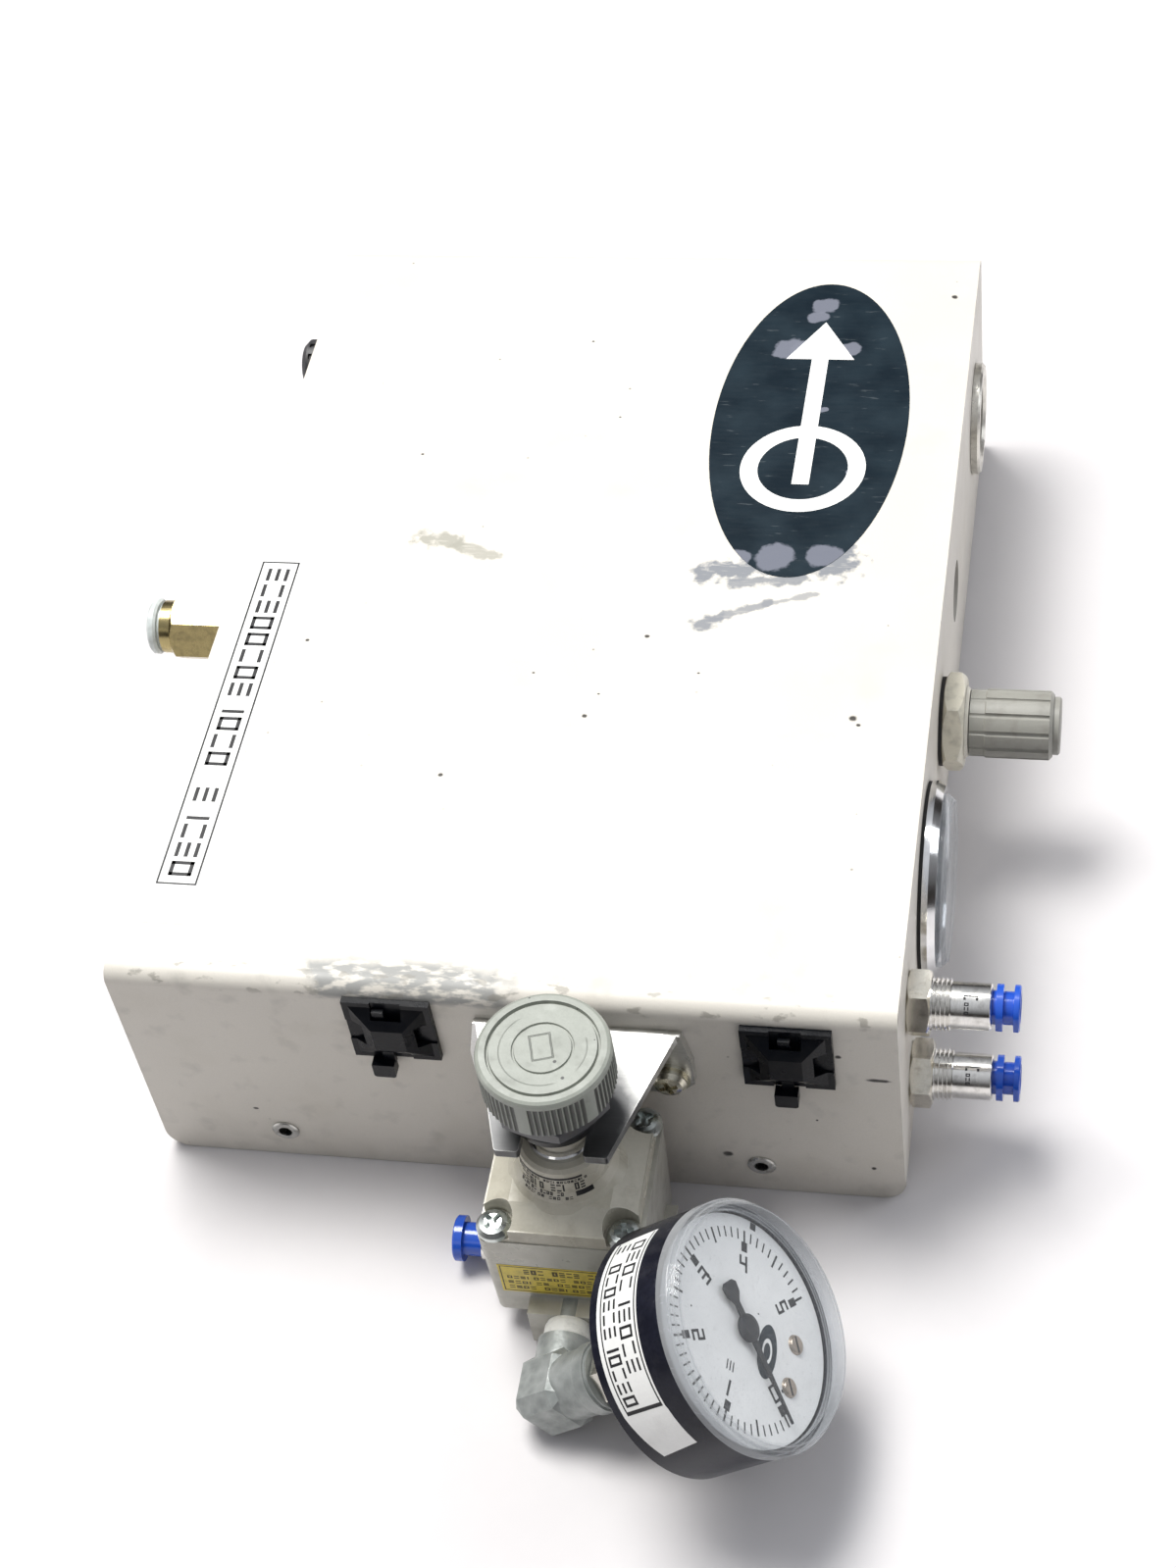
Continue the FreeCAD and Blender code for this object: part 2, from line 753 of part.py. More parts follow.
def thread_crests(radius, start, turns):
    """Zigzag profile points of a plain ring thread that starts at an axial position."""
    points = []
    for turn in range(turns):
        points.append((radius, f"{start} + thread_pitch * {turn}"))
        points.append((f"{radius} - thread_depth", f"{start} + thread_pitch * {turn + 0.5}"))
    points.append((radius, f"{start} + thread_pitch * {turns}"))
    return points


def make_bulkheads():
    """Two bulkhead unions for 6 mm tube, one above the other at the front of the right wall."""
    end = "bulkhead_barrel_end"
    for name in ("upper", "lower"):
        centre = spot("case_width / 2", "fitting_row", f"{name}_fitting_level")
        turned(f"bulkhead_{name}", [
            ("small_bore", "bulkhead_tail + 6"), ("tube_socket_radius", "bulkhead_tail + 6"),
            ("tube_socket_radius", "bulkhead_tail"), ("5.5", "bulkhead_tail"), ("5.5", "bulkhead_inside"),
            ("bulkhead_thread", "bulkhead_inside"), ("bulkhead_thread", "bulkhead_nut_height + 0.2"),
            *thread_crests("bulkhead_thread", "bulkhead_nut_height + 0.25", 4),
            ("bulkhead_barrel_radius", "bulkhead_barrel_start"), ("bulkhead_barrel_radius", f"{end} - 0.4"),
            ("bulkhead_barrel_radius - 0.4", end),
            ("collar_sleeve + 0.1", end), ("collar_sleeve + 0.1", f"{end} - 5.6"),
            ("tube_socket_radius", f"{end} - 5.6"), ("tube_socket_radius", f"{end} - 14"),
            ("small_bore", f"{end} - 14"),
        ], aim(centre, RIGHT))
    nut = hex_nut("bulkhead_nut_pattern", "bulkhead_nut_flats", "bulkhead_nut_height", "bulkhead_thread + 0.05",
                  keep=False)
    nuts = []
    for name, turn in (("upper", 30), ("lower", 12)):
        outside = spot("case_width / 2", "fitting_row", f"{name}_fitting_level")
        inside = spot("case_width / 2 - sheet_gauge", "fitting_row", f"{name}_fitting_level")
        nuts.append(placed(nut.Shape, aim(outside, RIGHT, turn)))
        nuts.append(placed(nut.Shape, aim(inside, LEFT)))
    group("bulkhead_nuts", nuts)


def release_collar(label, place, flange_start, flange_end, grooved):
    """Release collar of a 6 mm push-in fitting; its sleeve runs inside the fitting's mouth."""
    outline = [
        ("collar_bore", "-collar_reach"), ("collar_sleeve", "-collar_reach"), ("collar_sleeve", flange_start),
        ("collar_flange", flange_start),
    ]
    if grooved:
        outline += [
            ("collar_flange", f"{flange_start} + 1.5"), ("collar_neck", f"{flange_start} + 1.7"),
            ("collar_neck", f"{flange_end} - 1.6"), ("collar_flange", f"{flange_end} - 1.4"),
        ]
    outline += [
        ("collar_flange", f"{flange_end} - 0.3"), ("collar_flange - 0.3", flange_end),
        ("collar_bore + 0.4", flange_end), ("collar_bore", f"{flange_end} - 0.4"),
    ]
    return turned(label, outline, place)


def make_release_collars():
    for name in ("upper", "lower"):
        mouth = spot("case_width / 2 + bulkhead_barrel_end", "fitting_row", f"{name}_fitting_level")
        release_collar(f"bulkhead_collar_{name}", aim(mouth, RIGHT), "collar_gap", "6.2", grooved=True)
    for label, way in (("regulator_inlet_collar", LEFT), ("regulator_outlet_collar", RIGHT)):
        side = f"axis_side + {way[0]} * (body_width / 2 + side_boss + port_shank_end)"
        place = aim(spot(side, "axis_row", "port_level"), way)
        release_collar(label, place, "collar_gap + 3.6", "collar_gap + 5.8", grooved=False)


def make_port_fittings():
    """Short push-in fittings in the precision regulator's two side ports."""
    end = "port_shank_end"
    for label, way in (("regulator_inlet_fitting", LEFT), ("regulator_outlet_fitting", RIGHT)):
        side = f"axis_side + {way[0]} * (body_width / 2 + side_boss)"
        turned(label, [
            ("small_bore", "0.6 - port_depth"), ("port_thread_radius", "0.6 - port_depth"),
            ("port_thread_radius", "0.2"), ("port_shank_radius", "0.2"), ("port_shank_radius", end),
            ("collar_sleeve + 0.1", end), ("collar_sleeve + 0.1", f"{end} - 5.6"),
            ("tube_socket_radius", f"{end} - 5.6"), ("tube_socket_radius", f"{end} - 12"),
            ("small_bore", f"{end} - 12"),
        ], aim(spot(side, "axis_row", "port_level"), way))


def make_inlet():
    """Brass push-in inlet for 10 mm tube in the left wall."""
    place = aim(spot("-case_width / 2", "inlet_row", "inlet_level"), LEFT)
    end = "inlet_neck_end"
    body = turned("inlet_fitting", [
        ("tube_socket_radius", "inlet_tail"), ("inlet_thread", "inlet_tail"), ("inlet_thread", "0.2"),
        ("inlet_hex_flats / 2 - 0.3", "0.2"), ("inlet_hex_flats / 2 - 0.3", "inlet_hex_end"),
        ("inlet_neck_radius", "inlet_hex_end + 0.4"), ("inlet_neck_radius", end),
        ("inlet_collar_sleeve + 0.1", end), ("inlet_collar_sleeve + 0.1", f"{end} - 6"),
        ("inlet_socket_radius", f"{end} - 6"), ("inlet_socket_radius", f"{end} - 19"),
        ("tube_socket_radius", f"{end} - 19"),
    ], place)
    hexagonal = new_sketch(body, "XY_Plane", "0.2")
    add_polygon(hexagonal, hexagon("inlet_hex_flats", 20))
    add_circle(hexagonal, 0, 0, "inlet_collar_sleeve + 1")
    extrude(body, hexagonal, "inlet_hex_end - 0.2")
    spin(body, [
        ("inlet_hex_flats * 0.485", "inlet_hex_end"), ("inlet_hex_flats * 0.62", "inlet_hex_end"),
        ("inlet_hex_flats * 0.62", "inlet_hex_end - 1.8"),
    ], "Groove")
    turned("inlet_collar", [
        ("inlet_collar_bore", "-4.6"), ("inlet_collar_sleeve", "-4.6"), ("inlet_collar_sleeve", "1"),
        ("inlet_collar_flange - 0.5", "1"), ("inlet_collar_flange", "1.6"), ("inlet_collar_flange", "2.7"),
        ("inlet_collar_flange - 0.6", "3.3"), ("inlet_collar_bore + 0.5", "3.3"), ("inlet_collar_bore", "2.8"),
    ], aim(spot(f"-case_width / 2 - {end}", "inlet_row", "inlet_level"), LEFT))
    hex_nut("inlet_nut", "inlet_nut_flats", "inlet_nut_height", "inlet_thread + 0.05",
            aim(spot("sheet_gauge - case_width / 2", "inlet_row", "inlet_level"), RIGHT))


# ---------------------------------------------------------------- panel instruments


def make_panel_gauge():
    """Flush gauge in the right wall."""
    place = aim(spot("case_width / 2", "panel_gauge_row", "panel_gauge_level"), RIGHT, 90)
    depth = "panel_case_depth"
    wall = "panel_case_wall"
    turned("panel_gauge_case", [
        ("0", "-panel_stem_reach"), ("5", "-panel_stem_reach"), ("5", f"-{depth}"),
        ("panel_case_radius", f"-{depth}"), ("panel_case_radius", "0"), (f"panel_case_radius - {wall}", "0"),
        (f"panel_case_radius - {wall}", f"{wall} - {depth}"), ("0", f"{wall} - {depth}"),
    ], place)
    turned("panel_gauge_bezel", [
        ("panel_bezel_bore", "gasket_height"), ("panel_bezel_radius", "gasket_height"),
        ("panel_bezel_radius", "gasket_height + 1.4"),
        ("panel_bezel_radius - 1.2", "panel_bezel_height"), ("panel_bezel_bore + 0.6", "panel_bezel_height"),
        ("panel_bezel_bore", "panel_bezel_height - 0.8"),
    ], place)
    turned("panel_gauge_lens", [
        ("0", "panel_lens_front - 1.4"), ("panel_lens_radius - 2.4", "panel_lens_front - 1.4"),
        ("panel_lens_radius - 1.4", "1.6"), ("panel_lens_radius", "1.6"),
        ("panel_lens_radius", "panel_lens_front - 1.5"), ("panel_lens_radius - 1.3", "panel_lens_front"),
        ("0", "panel_lens_front"),
    ], place)
    turned("panel_gauge_dial", [
        ("1.2", "-1.2"), ("panel_lens_radius", "-1.2"), ("panel_lens_radius", "-0.6"), ("1.2", "-0.6"),
    ], place)
    needle("panel_gauge_needle", place, "0.5", "panel_needle_length", "6", "2.2", "-8", 225)


def needle(label, place, level, length, tail, hub, arbor_back, clock):
    """Pointer with a wide counterweight, a domed hub and the arbor it turns on."""
    body = turned(label, [
        ("0", arbor_back), ("pinion_radius", arbor_back), ("pinion_radius", level),
        (hub, level), (hub, f"{level} + 0.7"), (f"({hub}) * 0.6", f"{level} + 1.2"), ("0", f"{level} + 1.3"),
    ], place)
    ahead = math.radians(90 - clock)
    across = ahead + math.pi / 2

    def point(reach, width):
        parts = []
        for trig in (math.cos, math.sin):
            parts.append(f"({reach}) * {trig(ahead):.6f} + ({width}) * {trig(across):.6f}")
        return tuple(parts)

    sketch = new_sketch(body, "XY_Plane", f"{level} + 0.1")
    add_polygon(sketch, [
        point(length, "0.18"), point("0", "0.85"), point(f"-({tail}) * 0.55", "0.75"),
        point(f"-({tail}) * 0.72", "2.1"), point(f"-({tail}) * 0.92", "2.3"), point(f"-({tail})", "1.3"),
        point(f"-({tail})", "-1.3"), point(f"-({tail}) * 0.92", "-2.3"), point(f"-({tail}) * 0.72", "-2.1"),
        point(f"-({tail}) * 0.55", "-0.75"), point("0", "-0.85"), point(length, "-0.18"),
    ])
    extrude(body, sketch, "needle_gauge")
    return body


def make_gaskets():
    """Black sealing rings under the panel gauge's bezel and the panel regulator's nut."""
    rings = []
    for name, bore, rim in (
        ("gauge", "panel_case_radius + 0.1", "panel_bezel_radius - 0.2"),
        ("knob", "panel_thread_radius + 0.05", "panel_nut_flats / 2"),
    ):
        centre = spot("case_width / 2", f"panel_{name}_row", f"panel_{name}_level")
        ring = turned(f"{name}_gasket_pattern", [
            (bore, "0.02"), (rim, "0.02"), (rim, "gasket_height - 0.02"), (bore, "gasket_height - 0.02"),
        ], keep=False)
        rings.append(placed(ring.Shape, aim(centre, RIGHT)))
    group("panel_gaskets", rings)


def make_panel_regulator():
    """Small push-to-lock regulator behind the right wall."""
    centre = spot("case_width / 2", "panel_knob_row", "panel_knob_level")
    place = aim(centre, RIGHT)
    body = new_body("panel_regulator_body", place)
    block = new_sketch(body, "XY_Plane", "panel_block_end")
    add_polygon(block, box_corners("0", "0", "panel_block_size", "panel_block_size"))
    extrude(body, block, "panel_bonnet_end - panel_block_end")
    round_edges(body, lambda c, d: abs(d.z) > 0.99, "3")
    ports = new_sketch(body, "XZ_Plane")
    add_circle(ports, "0", "(panel_block_end + panel_bonnet_end) / 2", "air_tube_radius")
    cut(body, ports, "panel_block_size * 0.5", reverse=True)
    turned("panel_regulator_bonnet", [
        ("panel_stem_radius + 0.1", "panel_bonnet_end + 6"), ("9", "panel_bonnet_end + 6"),
        ("9", "panel_bonnet_end"), ("panel_bonnet_radius", "panel_bonnet_end"),
        ("panel_bonnet_radius", "-7"), ("panel_bonnet_radius - 3", "-sheet_gauge - 0.1"),
        ("panel_thread_radius", "-sheet_gauge - 0.1"),
        ("panel_thread_radius", "gasket_height + panel_nut_height + 0.2"),
        ("panel_thread_radius - 0.8", "panel_collar_end"), ("panel_stem_radius + 0.1", "panel_collar_end"),
    ], place)
    nut_place = aim(spot("case_width / 2 + gasket_height", "panel_knob_row", "panel_knob_level"), RIGHT)
    hex_nut("panel_regulator_nut", "panel_nut_flats", "panel_nut_height", "panel_thread_radius + 0.05",
            nut_place, turn=30)
    turned("panel_stem", [
        ("0", "panel_bonnet_end + 2"), ("panel_stem_radius", "panel_bonnet_end + 2"),
        ("panel_stem_radius", "panel_knob_end - 8"), ("0", "panel_knob_end - 8"),
    ], place)
    knob = turned("panel_knob", [
        ("panel_stem_radius + 0.05", "panel_knob_start"), ("panel_knob_radius - 0.3", "panel_knob_start"),
        ("panel_knob_radius - 0.3", "panel_knob_start + 3.6"), ("panel_knob_radius", "panel_knob_start + 3.9"),
        ("panel_knob_radius", "panel_knob_end - 0.8"), ("panel_knob_radius - 0.8", "panel_knob_end"),
        ("panel_cap_radius", "panel_knob_end"), ("panel_cap_radius", "panel_cap_end - 0.4"),
        ("panel_cap_radius - 0.5", "panel_cap_end"), ("0", "panel_cap_end"),
        ("0", "panel_knob_end - 5.6"), ("panel_stem_radius + 0.05", "panel_knob_end - 5.6"),
    ], place)
    flute = new_sketch(knob, "XY_Plane", "panel_knob_start")
    add_circle(flute, "panel_knob_radius + 0.1", "0", "panel_flute_radius")
    channel = cut(knob, flute, "panel_knob_end - panel_knob_start - 0.8", reverse=True)
    repeat(knob, channel, int(size("panel_flute_count")))


def make_connector():
    """Round electrical receptacle near the back of the right wall."""
    place = aim(spot("case_width / 2", "connector_row", "connector_level"), RIGHT)
    turned("connector_shell", [
        ("connector_bore", "-connector_depth"), ("connector_barrel", "-connector_depth"),
        ("connector_barrel", "0.1"), ("connector_flange", "0.1"), ("connector_flange", "connector_lip - 0.6"),
        ("connector_flange - 0.6", "connector_lip"), ("connector_bore + 0.8", "connector_lip"),
        ("connector_bore", "connector_lip - 0.8"),
    ], place)
    insert = turned("connector_insert", [
        ("0", "1 - connector_depth"), ("connector_bore - 0.1", "1 - connector_depth"),
        ("connector_bore - 0.1", "-5"), ("0", "-5"),
    ], place)
    contact = new_sketch(insert, "XY_Plane", "-5")
    add_circle(contact, "contact_circle", "0", "contact_radius")
    socket = cut(insert, contact, "4")
    repeat(insert, socket, 4)


def make_valve():
    """Solenoid valve on the left wall, its coil, its exhaust silencer and the air tubes."""
    inner = "sheet_gauge - case_width / 2"
    corner = spot(inner, "silencer_row + 13 - valve_length", "valve_bottom")
    body = new_body("solenoid_valve", Placement(corner, Rotation()))
    block = new_sketch(body)
    add_polygon(block, [("0.1", "0"), ("valve_width", "0"), ("valve_width", "valve_length"),
                        ("0.1", "valve_length")])
    extrude(body, block, "valve_depth")
    round_edges(body, lambda c, d: abs(d.y) > 0.99, "1.5")
    port = new_sketch(body, "YZ_Plane")
    add_circle(port, "valve_length - 13", "silencer_level - valve_bottom", "silencer_thread + 0.05")
    cut(body, port, "10", reverse=True)
    corner = spot(inner, "silencer_row + 13 - valve_length - coil_length", "valve_bottom + 1")
    coil = new_body("solenoid_coil", Placement(corner, Rotation()))
    winding = new_sketch(coil)
    add_polygon(winding, [("0.6", "0"), ("valve_width - 1", "0"), ("valve_width - 1", "coil_length - 0.1"),
                          ("0.6", "coil_length - 0.1")])
    extrude(coil, winding, "valve_depth - 3")
    round_edges(coil, lambda c, d: abs(d.y) > 0.99, "4")

    silencer = turned("silencer", [
        ("0", "-9"), ("silencer_thread", "-9"), ("silencer_thread", "0.1"), ("silencer_radius", "0.1"),
        ("silencer_radius", "silencer_length - 1.4"), ("silencer_radius - 1.4", "silencer_length"),
        ("0", "silencer_length"),
    ], aim(spot("-case_width / 2", "silencer_row", "silencer_level"), LEFT))
    slot = new_sketch(silencer, "XY_Plane", "3")
    add_polygon(slot, box_corners("silencer_radius", "0", "1.6", "1.6"))
    vent = cut(silencer, slot, "silencer_length - 5", reverse=True)
    repeat(silencer, vent, 12)


def air_tube(points):
    """Nylon tube swept along straight runs joined by tangent arcs."""
    bend = size("air_tube_bend")
    edges = []
    start = points[0]
    for before, corner, after in zip(points, points[1:], points[2:]):
        inward = (before - corner).normalize()
        outward = (after - corner).normalize()
        turn = math.pi - inward.getAngle(outward)
        setback = bend * math.tan(turn / 2)
        entry = corner + inward * setback
        leave = corner + outward * setback
        middle = corner + (inward + outward).normalize() * (bend / math.cos(turn / 2) - bend)
        edges.append(Part.LineSegment(start, entry).toShape())
        edges.append(Part.Arc(entry, middle, leave).toShape())
        start = leave
    edges.append(Part.LineSegment(start, points[-1]).toShape())
    path = Part.Wire(edges)
    ring = Part.Wire(Part.Circle(points[0], points[1] - points[0], size("air_tube_radius - 0.05")).toShape())
    return path.makePipeShell([ring], True, True)


def make_air_tubes():
    """Inside plumbing between inlet, valve, panel regulator, panel gauge and the two unions."""
    valve_face = "sheet_gauge - case_width / 2 + valve_width + 0.1"
    block_x = "case_width / 2 + (panel_block_end + panel_bonnet_end) / 2"
    block_back = "panel_knob_row + panel_block_size / 2 + 0.1"
    block_front = "panel_knob_row - panel_block_size / 2 - 0.1"
    union_x = "case_width / 2 + bulkhead_tail - 0.1"
    block_face = "case_width / 2 + panel_block_end - 0.1"
    gauge_x = "case_width / 2 - panel_stem_reach - 0.1"
    routes = [
        [("-case_width / 2 - inlet_tail + 0.1", "inlet_row", "inlet_level"), ("-48", "inlet_row", "inlet_level"),
         ("-48", "80", "inlet_level"), (valve_face, "80", "inlet_level")],
        [(valve_face, "100", "panel_knob_level"), (block_x, "100", "panel_knob_level"),
         (block_x, block_back, "panel_knob_level")],
        [(block_x, block_front, "32"), (block_x, "-45", "32"), (block_x, "-60", "lower_fitting_level"),
         (block_x, "fitting_row", "lower_fitting_level"), (union_x, "fitting_row", "lower_fitting_level")],
        [(block_face, "panel_knob_row", "panel_knob_level"), ("28", "panel_knob_row", "panel_knob_level"),
         ("28", "panel_gauge_row", "panel_gauge_level"), (gauge_x, "panel_gauge_row", "panel_gauge_level")],
        [(union_x, "fitting_row", "upper_fitting_level"), ("-34", "fitting_row", "upper_fitting_level"),
         ("-34", "92", "upper_fitting_level"), (valve_face, "92", "upper_fitting_level")],
    ]
    group("internal_tubes", [air_tube([spot(*point) for point in route]) for route in routes])


# ---------------------------------------------------------------- precision regulator


def regulator_axis(level="0"):
    return Placement(spot("axis_side", "axis_row", level), Rotation())


def make_regulator_body():
    body = new_body("regulator_body", regulator_axis())
    block = new_sketch(body, "XY_Plane", "body_top")
    add_polygon(block, box_corners("0", "0", "body_width", "body_size"))
    pad = extrude(body, block, "body_top - body_bottom", reverse=True)
    bind(pad, "TaperAngle", "-body_draft_degrees")
    doc.recompute()
    round_edges(body, lambda c, d: abs(d.z) > 0.9, "body_edge_radius")
    notches = new_sketch(body, "XY_Plane", "body_bottom")
    for side in (-1, 1):
        for row in (-1, 1):
            across = f"{side} * (body_width + boss_width) / 4"
            along = f"{row} * (body_size + boss_width) / 4"
            width = "(body_width - boss_width) / 2"
            depth = "(body_size - boss_width) / 2"
            add_polygon(notches, box_corners(across, along, width, depth))
    cut(body, notches, "foot_notch_height", reverse=True)
    middle = "(body_bottom + boss_top) / 2"
    for plane, offset, reach, reverse in (
        ("XZ_Plane", "body_size / 2 - 2", "front_boss + 2", False),
        ("YZ_Plane", "body_width / 2 - 2", "side_boss + 2", False),
        ("YZ_Plane", "2 - body_width / 2", "side_boss + 2", True),
    ):
        boss = new_sketch(body, plane, offset)
        add_polygon(boss, box_corners("0", middle, "boss_width", "boss_top - body_bottom"))
        extrude(body, boss, reach, reverse=reverse)
    return body


def bore_regulator(body):
    """Side ports, front gauge port and the stepped bore on the regulator's axis."""
    side = "body_width / 2 + side_boss - port_depth"
    front = "body_size / 2 + front_boss - gauge_port_depth"
    ports = (
        ("YZ_Plane", side, True, "port_level"),
        ("YZ_Plane", f"-({side})", False, "port_level"),
        ("XZ_Plane", front, True, "elbow_level"),
    )
    for plane, offset, outward, level in ports:
        port = new_sketch(body, plane, offset)
        add_circle(port, "0", level, "port_radius")
        cut(body, port, "port_depth + 3", reverse=outward)
        passage = new_sketch(body, plane, offset)
        add_circle(passage, "0", level, "passage_radius")
        cut(body, passage, "9", reverse=not outward)
    spin(body, [
        ("0", "body_bottom - 1"), ("plug_bore_radius", "body_bottom - 1"), ("plug_bore_radius", "plug_top + 0.2"),
        ("poppet_chamber_radius", "plug_top + 0.2"), ("poppet_chamber_radius", "poppet_chamber_top"),
        ("seat_radius", "poppet_chamber_top"), ("seat_radius", "diaphragm_chamber_floor"),
        ("diaphragm_chamber_radius", "diaphragm_chamber_floor"), ("diaphragm_chamber_radius", "body_top + 1"),
        ("0", "body_top + 1"),
    ], "Groove")
    holes = new_sketch(body, "XY_Plane", "body_top")
    for side in (-1, 1):
        for row in (-1, 1):
            place = (f"{side} * screw_spread / 2", f"{row} * screw_spread / 2")
            add_circle(holes, *place, "bonnet_screw_bore - 0.1")
    cut(body, holes, "9")


def make_bonnet():
    """Cast bonnet: square foot with screw recesses, sloping shoulders, round neck and threaded stem."""
    body = new_body("regulator_bonnet", regulator_axis())
    block = new_sketch(body, "XY_Plane", "body_top")
    add_polygon(block, box_corners("0", "0", "block_size", "block_size"))
    extrude(body, block, "block_top - body_top - 1.2")
    round_edges(body, lambda c, d: abs(d.z) > 0.9, "body_edge_radius")
    slope = body.newObject("PartDesign::AdditiveLoft", "bonnet_slope")
    low = new_sketch(body, "XY_Plane", "block_top - 1.2")
    add_polygon(low, box_corners("0", "0", "block_size - 0.8", "block_size - 0.8"))
    high = new_sketch(body, "XY_Plane", "block_top + 1.6")
    add_polygon(high, box_corners("0", "0", "cone_foot_radius * 1.7", "cone_foot_radius * 1.7"))
    slope.Profile = low
    slope.Sections = [high]
    doc.recompute()
    spin(body, [
        ("0", "block_top - 3"), ("cone_foot_radius", "block_top - 3"), ("cone_foot_radius", "block_top + 0.8"),
        ("cone_foot_radius - 1.6", "block_top + 2.6"), ("neck_radius + 0.5", "cone_top"),
        ("neck_radius - 0.2", "neck_top - 0.8"), ("neck_radius - 1", "neck_top"), ("stem_radius", "neck_top"),
        ("stem_radius", "stem_top"), ("0", "stem_top"),
    ])
    recess = new_sketch(body, "XY_Plane", "block_top + 6")
    shank = new_sketch(body, "XY_Plane", "block_top + 6")
    for side in (-1, 1):
        for row in (-1, 1):
            place = (f"{side} * screw_spread / 2", f"{row} * screw_spread / 2")
            add_circle(recess, *place, "screw_recess_radius")
            add_circle(shank, *place, "bonnet_screw_bore + 0.1")
    cut(body, recess, "block_top + 6 - body_top - 1.2")
    cut(body, shank, "block_top + 10 - body_top")
    spin(body, [
        ("0", "body_top - 1"), ("diaphragm_radius + 0.1", "body_top - 1"),
        ("diaphragm_radius + 0.1", "body_top + diaphragm_gauge + 0.02"),
        ("diaphragm_plate_radius + 0.6", "body_top + diaphragm_gauge + 0.02"),
        ("diaphragm_plate_radius + 0.6", "diaphragm_plate_top + 0.8"),
        ("spring_chamber_radius", "diaphragm_plate_top + 1.6"), ("spring_chamber_radius", "spring_chamber_top"),
        ("adjuster_radius + 0.08", "spring_chamber_top"), ("adjuster_radius + 0.08", "stem_top + 1"),
        ("0", "stem_top + 1"),
    ], "Groove")


def make_regulator_trim():
    """Screws, neck ring, ring nut, diaphragm, plug and the thread tape of the gauge port."""
    screw = pan_screw("bonnet_screw_pattern")
    screws = []
    for side in (-1, 1):
        for row in (-1, 1):
            centre = spot(f"axis_side + {side} * screw_spread / 2", f"axis_row + {row} * screw_spread / 2",
                          "body_top + 1.2")
            screws.append(placed(screw.Shape, aim(centre, UP, 25 * side + 12 * row)))
    group("bonnet_screws", screws)
    turned("neck_ring", [
        ("stem_radius + 0.1", "ring_bottom + 0.02"), ("ring_radius", "ring_bottom + 0.02"),
        ("ring_radius", "ring_top - 0.4"), ("ring_radius - 0.4", "ring_top"), ("stem_radius + 0.1", "ring_top"),
    ], regulator_axis())
    turned("panel_ring_nut", [
        ("stem_radius + 0.05", "plate_top + 0.02"), ("ring_nut_radius", "plate_top + 0.02"),
        ("ring_nut_radius", "ring_nut_top - 0.4"), ("ring_nut_radius - 0.5", "ring_nut_top"),
        ("stem_radius + 0.05", "ring_nut_top"),
    ], regulator_axis())
    turned("diaphragm", [
        ("0", "body_top + 0.02"), ("diaphragm_radius", "body_top + 0.02"),
        ("diaphragm_radius", "body_top + diaphragm_gauge"),
        ("diaphragm_plate_radius", "body_top + diaphragm_gauge"),
        ("diaphragm_plate_radius", "diaphragm_plate_top"),
        ("0", "diaphragm_plate_top"),
    ], regulator_axis())
    plug = turned("bottom_plug", [
        ("0", "body_bottom + 0.3"), ("plug_radius", "body_bottom + 0.3"), ("plug_radius", "plug_top"),
        ("0", "plug_top"),
    ], regulator_axis())
    key = new_sketch(plug, "XY_Plane", "body_bottom + 0.3")
    add_polygon(key, hexagon("5"))
    cut(plug, key, "3", reverse=True)


